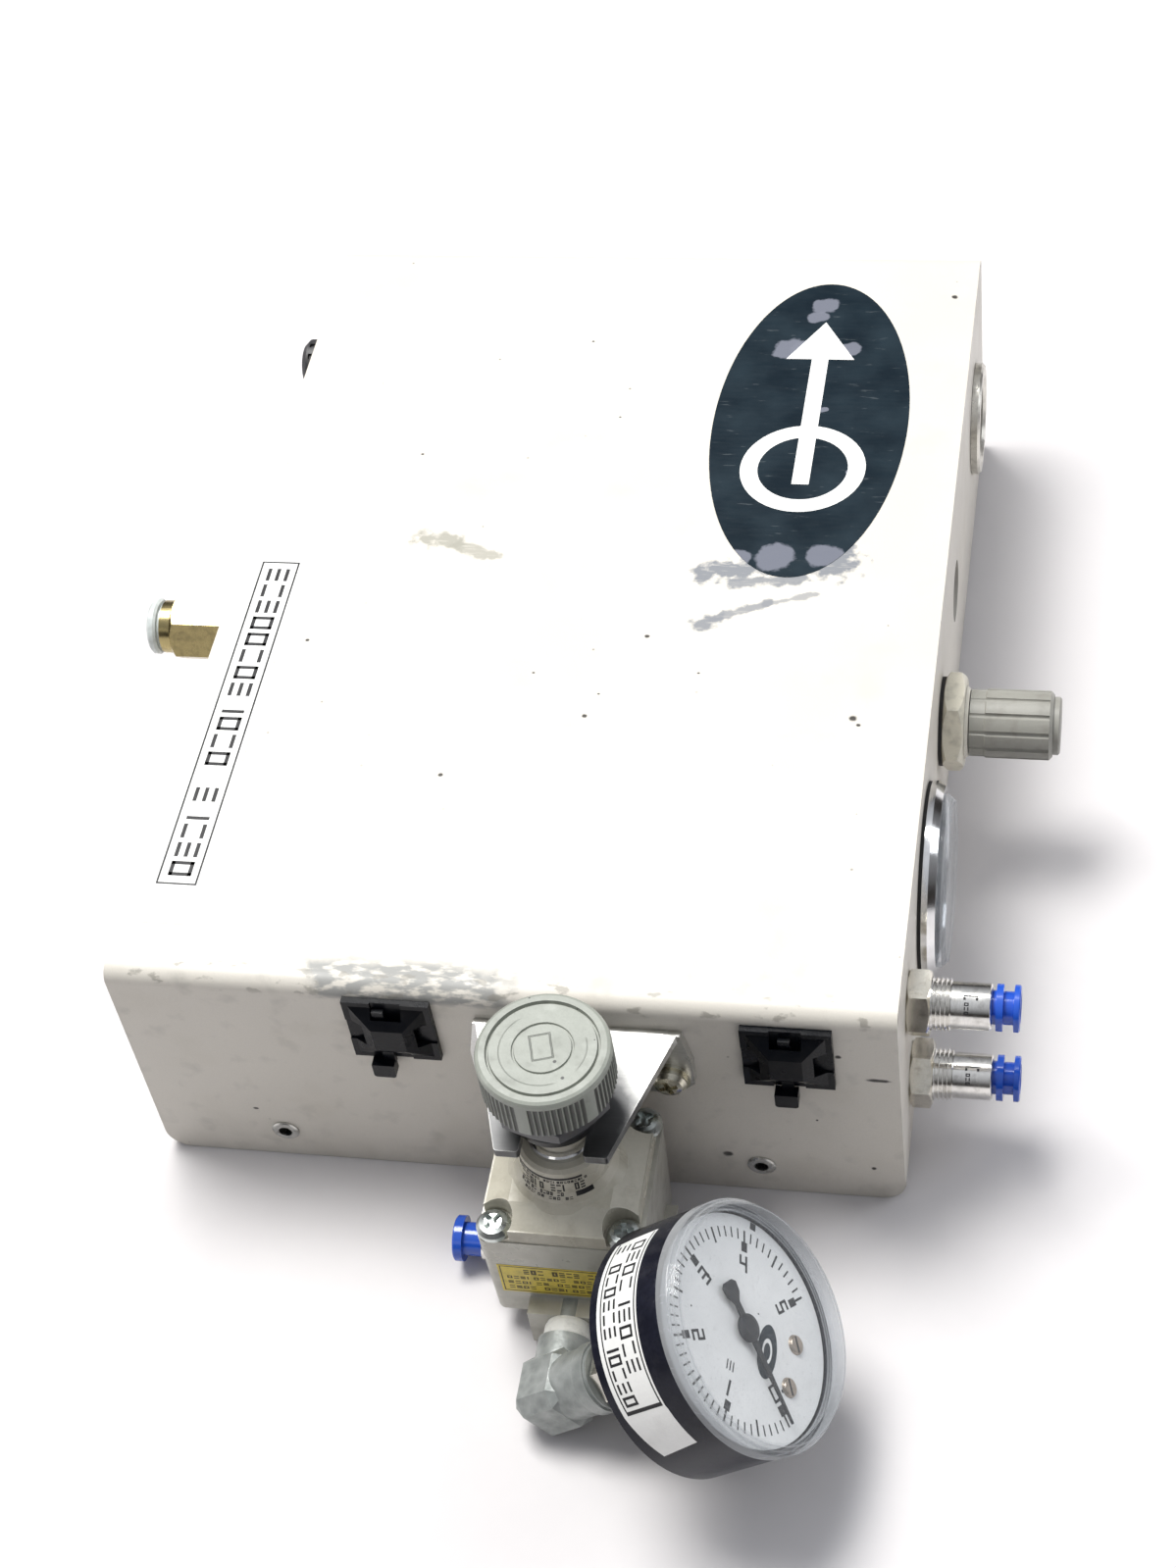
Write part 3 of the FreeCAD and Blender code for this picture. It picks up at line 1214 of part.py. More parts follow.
def make_regulator_motion():
    """Knob, adjusting screw, lock nut, spring seat, range spring and poppet."""
    axis = regulator_axis()
    knob = turned("knob", [
        ("adjuster_radius + 0.02", "knob_bottom"), ("knob_radius - 0.5", "knob_bottom"),
        ("knob_radius", "knob_bottom + 0.5"), ("knob_radius", "knob_top - knob_lip"),
        ("knob_radius - 0.35", "knob_top - knob_lip * 0.3"), ("knob_radius - 1", "knob_top"),
        ("knob_radius * 0.84", "knob_top"), ("knob_radius * 0.825", "knob_top - 0.9"),
        ("knob_radius * 0.8", "knob_top - 0.9"), ("knob_radius * 0.785", "knob_top - 0.15"),
        ("knob_radius * 0.46", "knob_top - 0.15"), ("knob_radius * 0.45", "knob_top - 0.6"),
        ("knob_radius * 0.425", "knob_top - 0.6"), ("knob_radius * 0.415", "knob_top - 0.15"),
        ("0", "knob_top - 0.15"),
        ("0", "adjuster_top + 0.1"), ("adjuster_radius + 0.02", "adjuster_top + 0.1"),
    ], axis)
    ribs = new_sketch(knob, "XY_Plane", "knob_bottom")
    for step in range(10):
        angle = math.radians(5 * step - 32.5)
        across = f"(knob_radius + 0.12) * {math.cos(angle):.6f}"
        along = f"(knob_radius + 0.12) * {math.sin(angle):.6f}"
        add_circle(ribs, across, along, "knob_rib_radius")
    grip = cut(knob, ribs, "knob_top - knob_bottom - knob_lip - 0.8", reverse=True)
    repeat(knob, grip, 6)
    turned("adjusting_screw", [
        ("0", "adjuster_bottom"), ("adjuster_radius - 1", "adjuster_bottom"),
        ("adjuster_radius", "adjuster_bottom + 1"), ("adjuster_radius", "adjuster_top"), ("0", "adjuster_top"),
    ], axis)
    hex_nut("lock_nut", "lock_nut_flats", "lock_nut_top - lock_nut_bottom", "adjuster_radius + 0.08",
            regulator_axis("lock_nut_bottom"), turn=-73)
    turned("spring_seat", [
        ("0", "spring_seat_bottom"), ("4.4", "spring_seat_bottom"), ("4.4", "spring_seat_bottom + 0.6"),
        ("spring_seat_radius", "spring_seat_bottom + 0.6"), ("spring_seat_radius", "spring_seat_top - 0.4"),
        ("spring_seat_radius - 0.4", "spring_seat_top"), ("0", "spring_seat_top"),
    ], axis)
    turned("poppet", [
        ("0", "poppet_bottom"), ("poppet_radius", "poppet_bottom"), ("poppet_radius", "poppet_top"),
        ("poppet_stem_radius", "poppet_top"), ("poppet_stem_radius", "poppet_stem_top"),
        ("0", "poppet_stem_top"),
    ], axis)

    # closed and ground coil spring between the diaphragm plate and the spring seat
    bottom = size("diaphragm_plate_top + 0.1 + spring_wire")
    top = size("spring_seat_bottom + 0.5 - spring_wire")
    radius = size("spring_radius")
    path = Part.makeHelix((top - bottom) / size("spring_turns"), top - bottom, radius)
    wire = Part.Wire(Part.Circle(Vector(radius, 0, 0), Vector(BACK), size("spring_wire")).toShape())
    coil = Part.Wire(path.Edges).makePipeShell([wire], True, True)
    coil.translate(spot("axis_side", "axis_row", bottom))
    group("range_spring", [coil])


# ---------------------------------------------------------------- gauge on the elbow


def gauge_frame(along="0"):
    """Frame of the gauge: Z out of the dial, Y to twelve o'clock, X to three o'clock."""
    tilt = math.radians(size("gauge_tilt"))
    out = Vector(math.cos(tilt), 0, math.sin(tilt))
    noon = Vector(-math.sin(tilt), 0, math.cos(tilt))
    elbow = spot("axis_side", "elbow_row", "elbow_level")
    return Placement(elbow + out * size(along), Rotation(Vector(BACK), noon, out, "ZXY"))


def make_elbow():
    """Street elbow: a lumpy casting with a male neck to the regulator and a female arm to the gauge."""
    frame = gauge_frame()
    span = size("elbow_size")
    cube = Part.makeBox(span, span, span, Vector(-span / 2, -span / 2, -span / 2))
    lump = cube.makeChamfer(size("elbow_chamfer"), cube.Edges)
    arm = Part.makeCylinder(size("elbow_arm_radius"), size("elbow_arm_end"))
    band = Part.makeCylinder(size("elbow_arm_radius + 0.5"), 3.2, Vector(0, 0, size("elbow_arm_end - 4")))
    arm = arm.fuse(band)
    casting = placed(lump.fuse(arm), frame)
    elbow = spot("axis_side", "elbow_row", "elbow_level")
    face = size("tape_front - elbow_row")
    port = size("axis_row - body_size / 2 - front_boss + 7 - elbow_row")
    neck = Part.makeCylinder(size("elbow_neck_radius"), face, elbow, Vector(BACK))
    nipple = Part.makeCylinder(size("nipple_radius"), port, elbow, Vector(BACK))
    casting = casting.fuse([neck, nipple])
    passage = Part.makeCylinder(size("passage_radius"), port + 1, elbow, Vector(BACK))
    socket = Part.makeCylinder(size("nipple_radius + 0.1"), 20, Vector(0, 0, size("socket_thread_start - 0.3")))
    drilling = Part.makeCylinder(size("passage_radius"), 8)
    casting = casting.cut([passage, placed(socket, frame), placed(drilling, frame)])
    ground = Part.makeBox(60, 60, 20, elbow + Vector(-30, -30, -20 - size("elbow_level - 0.3")))
    casting = casting.cut(ground).removeSplitter()
    group("elbow", casting.Solids)
    turned("thread_tape", [
        ("nipple_radius + 0.02", "0.1"), ("tape_radius - 0.3", "0.1"), ("tape_radius", "0.9"),
        ("tape_radius", "axis_row - body_size / 2 - front_boss - tape_front - 1"),
        ("tape_radius - 0.3", "axis_row - body_size / 2 - front_boss - tape_front - 0.05"),
        ("nipple_radius + 0.02", "axis_row - body_size / 2 - front_boss - tape_front - 0.05"),
    ], aim(spot("axis_side", "tape_front", "elbow_level"), BACK))


def make_gauge():
    """Fifty millimetre dial gauge with a snap-on clear cap."""
    frame = gauge_frame()
    socket = turned("gauge_socket", [
        ("1", "socket_thread_start"), ("nipple_radius", "socket_thread_start"),
        ("nipple_radius", "socket_hex_start"), ("socket_flats / 2 - 0.2", "socket_hex_start"),
        ("socket_flats / 2 - 0.2", "socket_hex_end"),
        ("socket_neck_radius", "socket_hex_end"), ("socket_neck_radius", "dial_case_back + 2"),
        ("4", "dial_case_back + 2"), ("4", "socket_end"), ("1", "socket_end"),
    ], frame)
    flats = new_sketch(socket, "XY_Plane", "socket_hex_start + 0.3")
    add_polygon(flats, hexagon("socket_flats"))
    add_circle(flats, 0, 0, "nipple_radius")
    extrude(socket, flats, "socket_hex_end - socket_hex_start - 0.6")
    wall = "dial_case_wall"
    turned("gauge_case", [
        ("socket_neck_radius + 0.05", "dial_case_back"), ("dial_case_radius - 1.2", "dial_case_back"),
        ("dial_case_radius", "dial_case_back + 1"), ("dial_case_radius", "dial_case_front"),
        (f"dial_case_radius - {wall}", "dial_case_front"),
        (f"dial_case_radius - {wall}", f"dial_case_back + {wall}"),
        ("socket_neck_radius + 0.05", f"dial_case_back + {wall}"),
    ], frame)
    turned("gauge_lens", [
        ("0", "lens_front - lens_window"), ("lens_radius - lens_wall - 0.8", "lens_front - lens_window"),
        ("lens_radius - lens_wall", "dial_case_front + 1.6"),
        ("lens_radius - lens_wall", "dial_case_front + 0.05"),
        ("lens_radius", "dial_case_front + 0.05"), ("lens_radius", "lens_front - lens_bevel - 0.6"),
        ("lens_radius - lens_bevel", "lens_front"), ("0", "lens_front"),
    ], frame)
    turned("gauge_dial", [
        ("1.3", "dial_level"), ("dial_radius", "dial_level"), ("dial_radius", "dial_level + dial_gauge"),
        ("1.3", "dial_level + dial_gauge"),
    ], frame)
    needle("gauge_needle", frame, "needle_level - 0.1", "needle_length", "needle_tail", "needle_hub",
           "movement_level", size("needle_rest"))

    # bourdon tube: an open bow around the socket, brazed to it by a short foot
    bow = Part.makeTorus(size("tube_bow_radius"), size("tube_bow_section"), Vector(), Vector(UP), -180, 180, 250)
    foot = Part.makeCylinder(1.6, size("tube_bow_radius"), Vector(), Vector(RIGHT))
    core = Part.makeCylinder(4.05, 6, Vector(0, 0, -3))
    tube = bow.fuse(foot).cut(core)
    tube_frame = gauge_frame("movement_level - 6.4")
    turn = Placement(Vector(), Rotation(Vector(UP), -90))
    group("bourdon_tube", placed(tube, tube_frame.multiply(turn)).Solids)

    # sector: a flat arm that pivots low in the case and ends just short of the pinion
    sector = new_body("gauge_sector", gauge_frame("movement_level + 1"))
    sketch = new_sketch(sector)
    edge = []
    for step in range(7):
        angle = math.radians(90 - 24 + 8 * step)
        edge.append((f"(sector_reach - pinion_radius - 0.15) * {math.cos(angle):.6f}",
                     f"(sector_reach - pinion_radius - 0.15) * {math.sin(angle):.6f} - sector_reach"))
    corners = edge + [("-2", "-sector_reach + 2"), ("-2", "-sector_reach - 5"), ("2", "-sector_reach - 5"),
                      ("2", "-sector_reach + 2")]
    add_polygon(sketch, corners)
    add_circle(sketch, 0, "-sector_reach", "sector_pivot_radius")
    extrude(sector, sketch, "1")


# ---------------------------------------------------------------- build and export


def check_document():
    """Stop when a feature failed or a sub-part has no sound shape."""
    doc.recompute()
    for thing in doc.Objects:
        if any(word in thing.State for word in ("Invalid", "Error")):
            raise RuntimeError(f"{thing.Label} failed: {thing.State}")
    for part in sub_parts:
        if part.Shape.isNull() or not part.Shape.isValid() or not part.Shape.Solids:
            raise RuntimeError(f"{part.Label} has no valid shape")


def export_parts():
    os.makedirs("parts", exist_ok=True)
    for part in sub_parts:
        part.Shape.exportStep(f"parts/{part.Label}.step")
    print(f"{len(sub_parts)} sub-parts written")


make_cover()
make_chassis()
make_enclosure_fasteners()
make_tie_mounts()
make_bracket()
make_bulkheads()
make_release_collars()
make_port_fittings()
make_inlet()
make_panel_gauge()
make_gaskets()
make_panel_regulator()
make_connector()
make_valve()
make_air_tubes()
bore_regulator(make_regulator_body())
make_bonnet()
make_regulator_trim()
make_regulator_motion()
make_elbow()
make_gauge()
check_document()
export_parts()
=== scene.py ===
"""Looks for a sheet-metal pneumatic controller with a bracket-mounted precision air regulator."""

import math

import bmesh
import bpy
from mathutils import Matrix, Vector
from mathutils.bvhtree import BVHTree


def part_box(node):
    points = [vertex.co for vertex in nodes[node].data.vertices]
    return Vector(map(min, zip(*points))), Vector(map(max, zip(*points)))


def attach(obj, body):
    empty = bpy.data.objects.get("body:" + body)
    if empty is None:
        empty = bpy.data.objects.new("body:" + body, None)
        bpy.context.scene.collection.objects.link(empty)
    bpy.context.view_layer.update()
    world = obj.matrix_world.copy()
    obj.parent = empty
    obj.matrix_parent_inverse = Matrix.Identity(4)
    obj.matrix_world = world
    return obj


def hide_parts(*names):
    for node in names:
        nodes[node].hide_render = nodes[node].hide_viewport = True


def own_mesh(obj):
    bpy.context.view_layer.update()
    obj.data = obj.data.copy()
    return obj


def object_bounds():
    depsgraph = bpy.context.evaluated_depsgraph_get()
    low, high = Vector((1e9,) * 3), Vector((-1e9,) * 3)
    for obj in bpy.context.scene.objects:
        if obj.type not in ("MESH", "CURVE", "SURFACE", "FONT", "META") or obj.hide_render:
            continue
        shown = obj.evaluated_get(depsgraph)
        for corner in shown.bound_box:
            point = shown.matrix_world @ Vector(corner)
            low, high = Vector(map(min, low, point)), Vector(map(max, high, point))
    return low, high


MM = 0.001
ROOT = "enclosure"

# Places in the row frame, in mm.
KNOB_TOP = (18.5, -152.0, 85.0)
AXIS = Vector((18.5, -152.0, 0))  # the regulator's upright axis
TILT = math.radians(38)
GAUGE_AT = Vector((18.5, -189.5, 8.4))
GAUGE_OUT = Vector((math.cos(TILT), 0, math.sin(TILT)))  # out of the dial
GAUGE_NOON = Vector((-math.sin(TILT), 0, math.cos(TILT)))
GAUGE_THREE = Vector((0, 1, 0))
PANEL_AT = Vector((89.0, -64.4, 38.0))

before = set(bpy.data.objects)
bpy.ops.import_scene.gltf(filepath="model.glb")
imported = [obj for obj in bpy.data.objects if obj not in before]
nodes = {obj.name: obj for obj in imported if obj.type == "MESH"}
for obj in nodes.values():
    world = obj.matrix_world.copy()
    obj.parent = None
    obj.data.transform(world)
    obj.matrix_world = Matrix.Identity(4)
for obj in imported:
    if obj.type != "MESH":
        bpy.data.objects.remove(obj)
cad_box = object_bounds()


# ---------------------------------------------------------------- material graphs


class Graph:
    """A material's node tree with one short call for each kind of node. Positions are in mm."""

    def __init__(self, name):
        self.material = bpy.data.materials.new(name)
        self.material.use_nodes = True
        self.tree = self.material.node_tree
        self.tree.nodes.clear()
        place = self.add("ShaderNodeTexCoord").outputs["Object"]
        self.place = self.vector("SCALE", place, scale=1 / MM)

    def add(self, kind, **settings):
        node = self.tree.nodes.new(kind)
        for key, value in settings.items():
            setattr(node, key, value)
        return node

    def feed(self, socket, value):
        """Links another node's output to the socket, or sets the socket's own value."""
        if isinstance(value, bpy.types.NodeSocket):
            self.tree.links.new(value, socket)
        elif isinstance(value, tuple) and len(value) == 3 and socket.type == "RGBA":
            socket.default_value = (*value, 1)
        else:
            socket.default_value = value

    def vector(self, operation, first, second=None, scale=None):
        node = self.add("ShaderNodeVectorMath", operation=operation)
        self.feed(node.inputs[0], first)
        if second is not None:
            self.feed(node.inputs[1], second)
        if scale is not None:
            node.inputs["Scale"].default_value = scale
        return node.outputs["Value" if operation in ("DOT_PRODUCT", "LENGTH") else "Vector"]

    def math(self, operation, first, second=None, clamp=False):
        node = self.add("ShaderNodeMath", operation=operation, use_clamp=clamp)
        self.feed(node.inputs[0], first)
        if second is not None:
            self.feed(node.inputs[1], second)
        return node.outputs[0]

    def noise(self, size, detail=3, stretch=(1, 1, 1), offset=0):
        """Cloudy noise whose features are about `size` mm across, 0 to 1."""
        node = self.add("ShaderNodeTexNoise")
        spread = tuple(1 / (size * share) for share in stretch)
        shifted = self.vector("ADD", self.place, (offset, offset * 1.7, offset * 0.6))
        self.feed(node.inputs["Vector"], self.vector("MULTIPLY", shifted, spread))
        node.inputs["Scale"].default_value = 1
        node.inputs["Detail"].default_value = detail
        return node.outputs["Fac"]

    def cells(self, size):
        """Distance to the nearest of many scattered points about `size` mm apart, in cells."""
        node = self.add("ShaderNodeTexVoronoi", feature="F1")
        spread = (1 / size, 1 / size, 1 / size)
        self.feed(node.inputs["Vector"], self.vector("MULTIPLY", self.place, spread))
        node.inputs["Scale"].default_value = 1
        return node.outputs["Distance"]

    def span(self, value, low, high, start=0.0, end=1.0):
        """Maps low..high to start..end, clamped."""
        node = self.add("ShaderNodeMapRange")
        self.feed(node.inputs["Value"], value)
        limits = {"From Min": low, "From Max": high, "To Min": start, "To Max": end}
        for name, number in limits.items():
            node.inputs[name].default_value = number
        return node.outputs["Result"]

    def mix(self, share, first, second, blend="MIX"):
        node = self.add("ShaderNodeMix", data_type="RGBA", blend_type=blend)
        colours = [socket for socket in node.inputs if socket.type == "RGBA"]
        self.feed(node.inputs["Factor"], share)
        self.feed(colours[0], first)
        self.feed(colours[1], second)
        return next(socket for socket in node.outputs if socket.type == "RGBA")

    def edges(self, radius=0.5):
        """1 along edges and corners, 0 on flats: how far the rounded normal leaves the true one."""
        bevel = self.add("ShaderNodeBevel", samples=4)
        bevel.inputs["Radius"].default_value = radius * MM
        normal = self.add("ShaderNodeNewGeometry").outputs["Normal"]
        turn = self.vector("DOT_PRODUCT", bevel.outputs["Normal"], normal)
        return self.span(turn, 0.98, 0.80)

    def bump(self, height, depth, below=None):
        """Depth is in mm for a height of 0 to 1."""
        node = self.add("ShaderNodeBump")
        node.inputs["Strength"].default_value = 1
        node.inputs["Distance"].default_value = depth * MM
        self.feed(node.inputs["Height"], height)
        if below is not None:
            self.feed(node.inputs["Normal"], below)
        return node.outputs["Normal"]

    def surface(self, colour, roughness, normal=None, **constants):
        shader = self.add("ShaderNodeBsdfPrincipled")
        self.feed(shader.inputs["Base Color"], colour)
        self.feed(shader.inputs["Roughness"], roughness)
        if normal is not None:
            self.feed(shader.inputs["Normal"], normal)
        for key, value in constants.items():
            self.feed(shader.inputs[key.replace("_", " ")], value)
        output = self.add("ShaderNodeOutputMaterial")
        self.tree.links.new(shader.outputs[0], output.inputs["Surface"])
        return self.material


def tinted(colour, share):
    return tuple(min(1.0, channel * share) for channel in colour)


def finish(name, colour, tone=0.06, patch=14.0, grain=0.5, grain_depth=0.012, dirt=0.25,
           dirt_colour=(0.10, 0.085, 0.065), wear=0.4, wear_colour=None, edge=0.45,
           roughness=0.45, spread=0.12, brushed=None, specks=0.0, **constants):
    """A used surface: uneven tone, fine grain, dirt in patches, wear on edges."""
    g = Graph(name)
    wide = g.noise(patch, 4)
    fine = g.noise(grain, 2, brushed or (1, 1, 1), offset=3)
    grime_and_shade = g.noise(patch * 0.35, 6, offset=11)
    corner = g.edges(edge)
    shade = g.mix(g.span(wide, 0.3, 0.7), tinted(colour, 1 - tone), tinted(colour, 1 + tone))
    shade = g.mix(g.span(fine, 0.35, 0.65, 0, 0.5), shade, tinted(colour, 1 - 1.6 * tone))
    if dirt:
        soiled = g.math("MULTIPLY", g.span(grime_and_shade, 0.50, 0.74), dirt)
        shade = g.mix(soiled, shade, dirt_colour)
    if specks:
        spots = g.span(g.cells(5.5), 0.085, 0.06)
        kept = g.math("MULTIPLY", spots, g.span(g.noise(9, 1, offset=23), 0.5, 0.56))
        shade = g.mix(g.math("MULTIPLY", kept, specks), shade, (0.06, 0.055, 0.05))
    rubbed = g.math("MULTIPLY", corner, g.span(g.noise(2.2, 4, offset=5), 0.35, 0.62))
    rubbed = g.math("MULTIPLY", rubbed, wear)
    shade = g.mix(rubbed, shade, wear_colour or tinted(colour, 1.35))
    rough = g.span(g.math("ADD", g.math("MULTIPLY", wide, 0.5), g.math("MULTIPLY", grime_and_shade, 0.5)),
                   0.3, 0.7, max(0.03, roughness - spread), min(1.0, roughness + spread))
    below = g.bump(g.noise(patch * 0.5, 2, offset=31), grain_depth * 1.5)
    return g.surface(shade, rough, g.bump(fine, grain_depth, below), **constants)


def machined(name, colour, along=(1, 1, 1), **extra):
    """Turned, milled or plated metal with fine tool marks across the given directions."""
    values = dict(tone=0.08, patch=6, grain=0.35, grain_depth=0.006, dirt=0.35, wear=0.5,
                  wear_colour=tinted(colour, 1.25), roughness=0.26, spread=0.10, brushed=along,
                  Metallic=1.0)
    values.update(extra)
    return finish(name, colour, **values)


def plastic(name, colour, **extra):
    values = dict(tone=0.05, patch=9, grain=0.3, grain_depth=0.006, dirt=0.2, wear=0.3,
                  wear_colour=tinted(colour, 1.8), roughness=0.35, spread=0.10,
                  Specular_IOR_Level=0.45)
    values.update(extra)
    return finish(name, colour, **values)


def capsule(g, start, end, level=None):
    """Distance in mm from the segment start-end, in plan."""
    axis = Vector(end) - Vector(start)
    flat = g.vector("MULTIPLY", g.place, (1, 1, 0))
    offset = g.vector("SUBTRACT", flat, (*start, 0))
    share = g.math("DIVIDE", g.vector("DOT_PRODUCT", offset, (*axis, 0)), axis.length_squared, True)
    foot = g.add("ShaderNodeVectorMath", operation="SCALE")
    foot.inputs[0].default_value = (*axis, 0)
    g.feed(foot.inputs["Scale"], share)
    return g.vector("LENGTH", g.vector("SUBTRACT", offset, foot.outputs["Vector"]))


# Old paint and stains on the top: ends in plan, half width, strength, colour.
GREY_PAINT = (0.23, 0.24, 0.26)
PALE_STAIN = (0.34, 0.33, 0.28)
DARK = (0.05, 0.045, 0.04)
TOP_MARKS = (
    ((31.0, 3.5), (45.0, 7.5), 3.6, 1.0, GREY_PAINT),
    ((45.0, 7.5), (63.0, 9.0), 5.4, 1.0, GREY_PAINT),
    ((38.0, 0.5), (54.0, 3.0), 2.2, 0.90, GREY_PAINT),
    ((30.5, -14.0), (35.0, -12.0), 2.2, 0.95, GREY_PAINT),
    ((34.0, -12.0), (47.0, -6.0), 1.5, 0.85, GREY_PAINT),
    ((46.0, -6.5), (58.0, -2.5), 1.0, 0.70, GREY_PAINT),
    ((-44.0, 13.0), (-34.0, 12.0), 2.8, 0.85, PALE_STAIN),
    ((-34.0, 11.0), (-24.5, 7.5), 2.2, 0.75, PALE_STAIN),
)
# Dark specks on the top: X, Y, radius.
TOP_SPECKS = (
    (70.9, -42.5, 1.15), (72.6, -44.5, 0.6), (18.9, -18.5, 0.75), (-65.4, -24.1, 0.45),
    (-23.2, -65.6, 0.5), (7.8, -45.2, 0.6), (-6.9, -32.0, 0.35), (83.0, 110.5, 0.9),
    (10.0, -38.0, 0.3), (33.0, -30.0, 0.3), (-50.0, 44.0, 0.4), (0.0, 60.0, 0.3),
    (-12.0, 90.0, 0.35),
)
# Dark chips in the front wall: X, Z, half width, half height.
FRONT_CHIPS = (
    (48.5, 13.8, 1.7, 1.2), (-63.5, 18.5, 0.9, 0.45), (84.0, 47.0, 3.2, 0.7),
    (76.0, 55.0, 0.9, 0.8), (70.0, 30.0, 0.3, 0.3), (82.0, 12.0, 0.8, 0.7),
)


def cream_paint(name, cream):
    """Cream textured paint with the blots, smears, specks and edge scuffs of long use."""
    g = Graph(name)
    wide = g.noise(55, 4)
    orange_peel = g.noise(0.9, 2, offset=3)
    fine = g.noise(0.25, 2, offset=7)
    grime_and_shade = g.noise(16, 7, offset=13)
    parts = g.add("ShaderNodeSeparateXYZ")
    g.feed(parts.inputs[0], g.place)
    side_way, row, level = parts.outputs["X"], parts.outputs["Y"], parts.outputs["Z"]
    top_zone = g.span(level, 68.2, 68.7)
    front_zone = g.math("MULTIPLY", g.span(row, -127.6, -128.2), g.span(level, 66, 65))
    shade = g.mix(g.span(wide, 0.3, 0.7), tinted(cream, 0.95), tinted(cream, 1.04))
    shade = g.mix(g.span(fine, 0.45, 0.75, 0, 0.35), shade, tinted(cream, 0.86))
    shade = g.mix(g.math("MULTIPLY", g.span(grime_and_shade, 0.55, 0.8), 0.16), shade, (0.42, 0.38, 0.28))
    lower = g.math("MULTIPLY", g.span(level, 16, 1), g.span(grime_and_shade, 0.35, 0.7))
    shade = g.mix(g.math("MULTIPLY", lower, 0.25), shade, (0.25, 0.22, 0.18))
    ragged = g.math("SUBTRACT", g.noise(3.2, 6, offset=17), 0.5)
    streaks = g.noise(1.0, 5, (5.0, 0.7, 1), offset=19)
    for start, end, half, strength, colour in TOP_MARKS:
        distance = g.math("ADD", capsule(g, start, end), g.math("MULTIPLY", ragged, half * 3.0))
        cover = g.math("MULTIPLY", g.span(distance, half, half * 0.55), top_zone)
        cover = g.math("MULTIPLY", cover, g.span(streaks, 0.26, 0.42, 0.45, 1.0))
        shade = g.mix(g.math("MULTIPLY", cover, strength), shade, colour)
    specks = None
    for side, back, radius in TOP_SPECKS:
        reach = g.math("ADD", capsule(g, (side, back), (side + 0.2, back)),
                       g.math("MULTIPLY", ragged, radius * 1.6))
        spot = g.math("MULTIPLY", g.span(reach, radius, radius * 0.6), top_zone)
        specks = spot if specks is None else g.math("MAXIMUM", specks, spot)
    plan = g.vector("MULTIPLY", g.place, (1, 0, 1))
    for side, height, wide_by, tall in FRONT_CHIPS:
        away = g.vector("SUBTRACT", plan, (side, 0, height))
        away = g.vector("LENGTH", g.vector("MULTIPLY", away, (1 / wide_by, 0, 1 / tall)))
        away = g.math("ADD", away, g.math("MULTIPLY", ragged, 1.4))
        specks = g.math("MAXIMUM", specks, g.math("MULTIPLY", g.span(away, 1.0, 0.6), front_zone))
    shade = g.mix(specks, shade, DARK)
    dust = g.span(g.cells(7), 0.055, 0.035)
    dust = g.math("MULTIPLY", dust, g.span(g.noise(14, 2, offset=29), 0.52, 0.6))
    shade = g.mix(g.math("MULTIPLY", dust, 0.7), shade, (0.14, 0.12, 0.10))
    # The scuffed band on the front top edge, scraped to grey along slanting streaks.
    wander = g.math("MULTIPLY", g.math("SUBTRACT", g.noise(9, 5, offset=53), 0.5), 16)
    along_edge = g.math("ADD", side_way, wander)
    over_edge = g.math("ADD", row, g.math("MULTIPLY", wander, 0.35))
    reach = g.math("MULTIPLY", g.span(along_edge, -43, -40), g.span(along_edge, 6, 0))
    rim = g.math("MULTIPLY", g.span(over_edge, -119.5, -122.0), g.span(level, 64.0, 66.0))
    slanted = g.noise(1.1, 5, (4.2, 1.6, 1.6), offset=59)
    scraped = g.math("MULTIPLY", g.math("MULTIPLY", reach, rim), g.span(slanted, 0.40, 0.52))
    shade = g.mix(g.math("MULTIPLY", scraped, 0.85), shade, (0.27, 0.275, 0.27))
    knocks = g.math("MULTIPLY", g.span(row, -121.5, -124.5), g.span(level, 64.5, 66.5))
    knocks = g.math("MULTIPLY", knocks, g.span(g.noise(3.2, 5, (1.8, 1, 1), offset=61), 0.60, 0.65))
    shade = g.mix(g.math("MULTIPLY", knocks, 0.6), shade, (0.26, 0.245, 0.21))
    smudges = g.math("MULTIPLY", g.span(row, -100, -127),
                     g.span(g.noise(7, 6, offset=67), 0.56, 0.72))
    shade = g.mix(g.math("MULTIPLY", smudges, 0.32), shade, (0.40, 0.385, 0.35))
    corner = g.math("MULTIPLY", g.edges(0.9), g.span(g.noise(3, 5, offset=37), 0.42, 0.62))
    shade = g.mix(g.math("MULTIPLY", corner, 0.5), shade, (0.58, 0.55, 0.48))
    rough = g.span(g.math("ADD", wide, grime_and_shade), 0.8, 1.2, 0.36, 0.52)
    below = g.bump(orange_peel, 0.035)
    return g.surface(shade, rough, g.bump(fine, 0.010, below), Specular_IOR_Level=0.4)


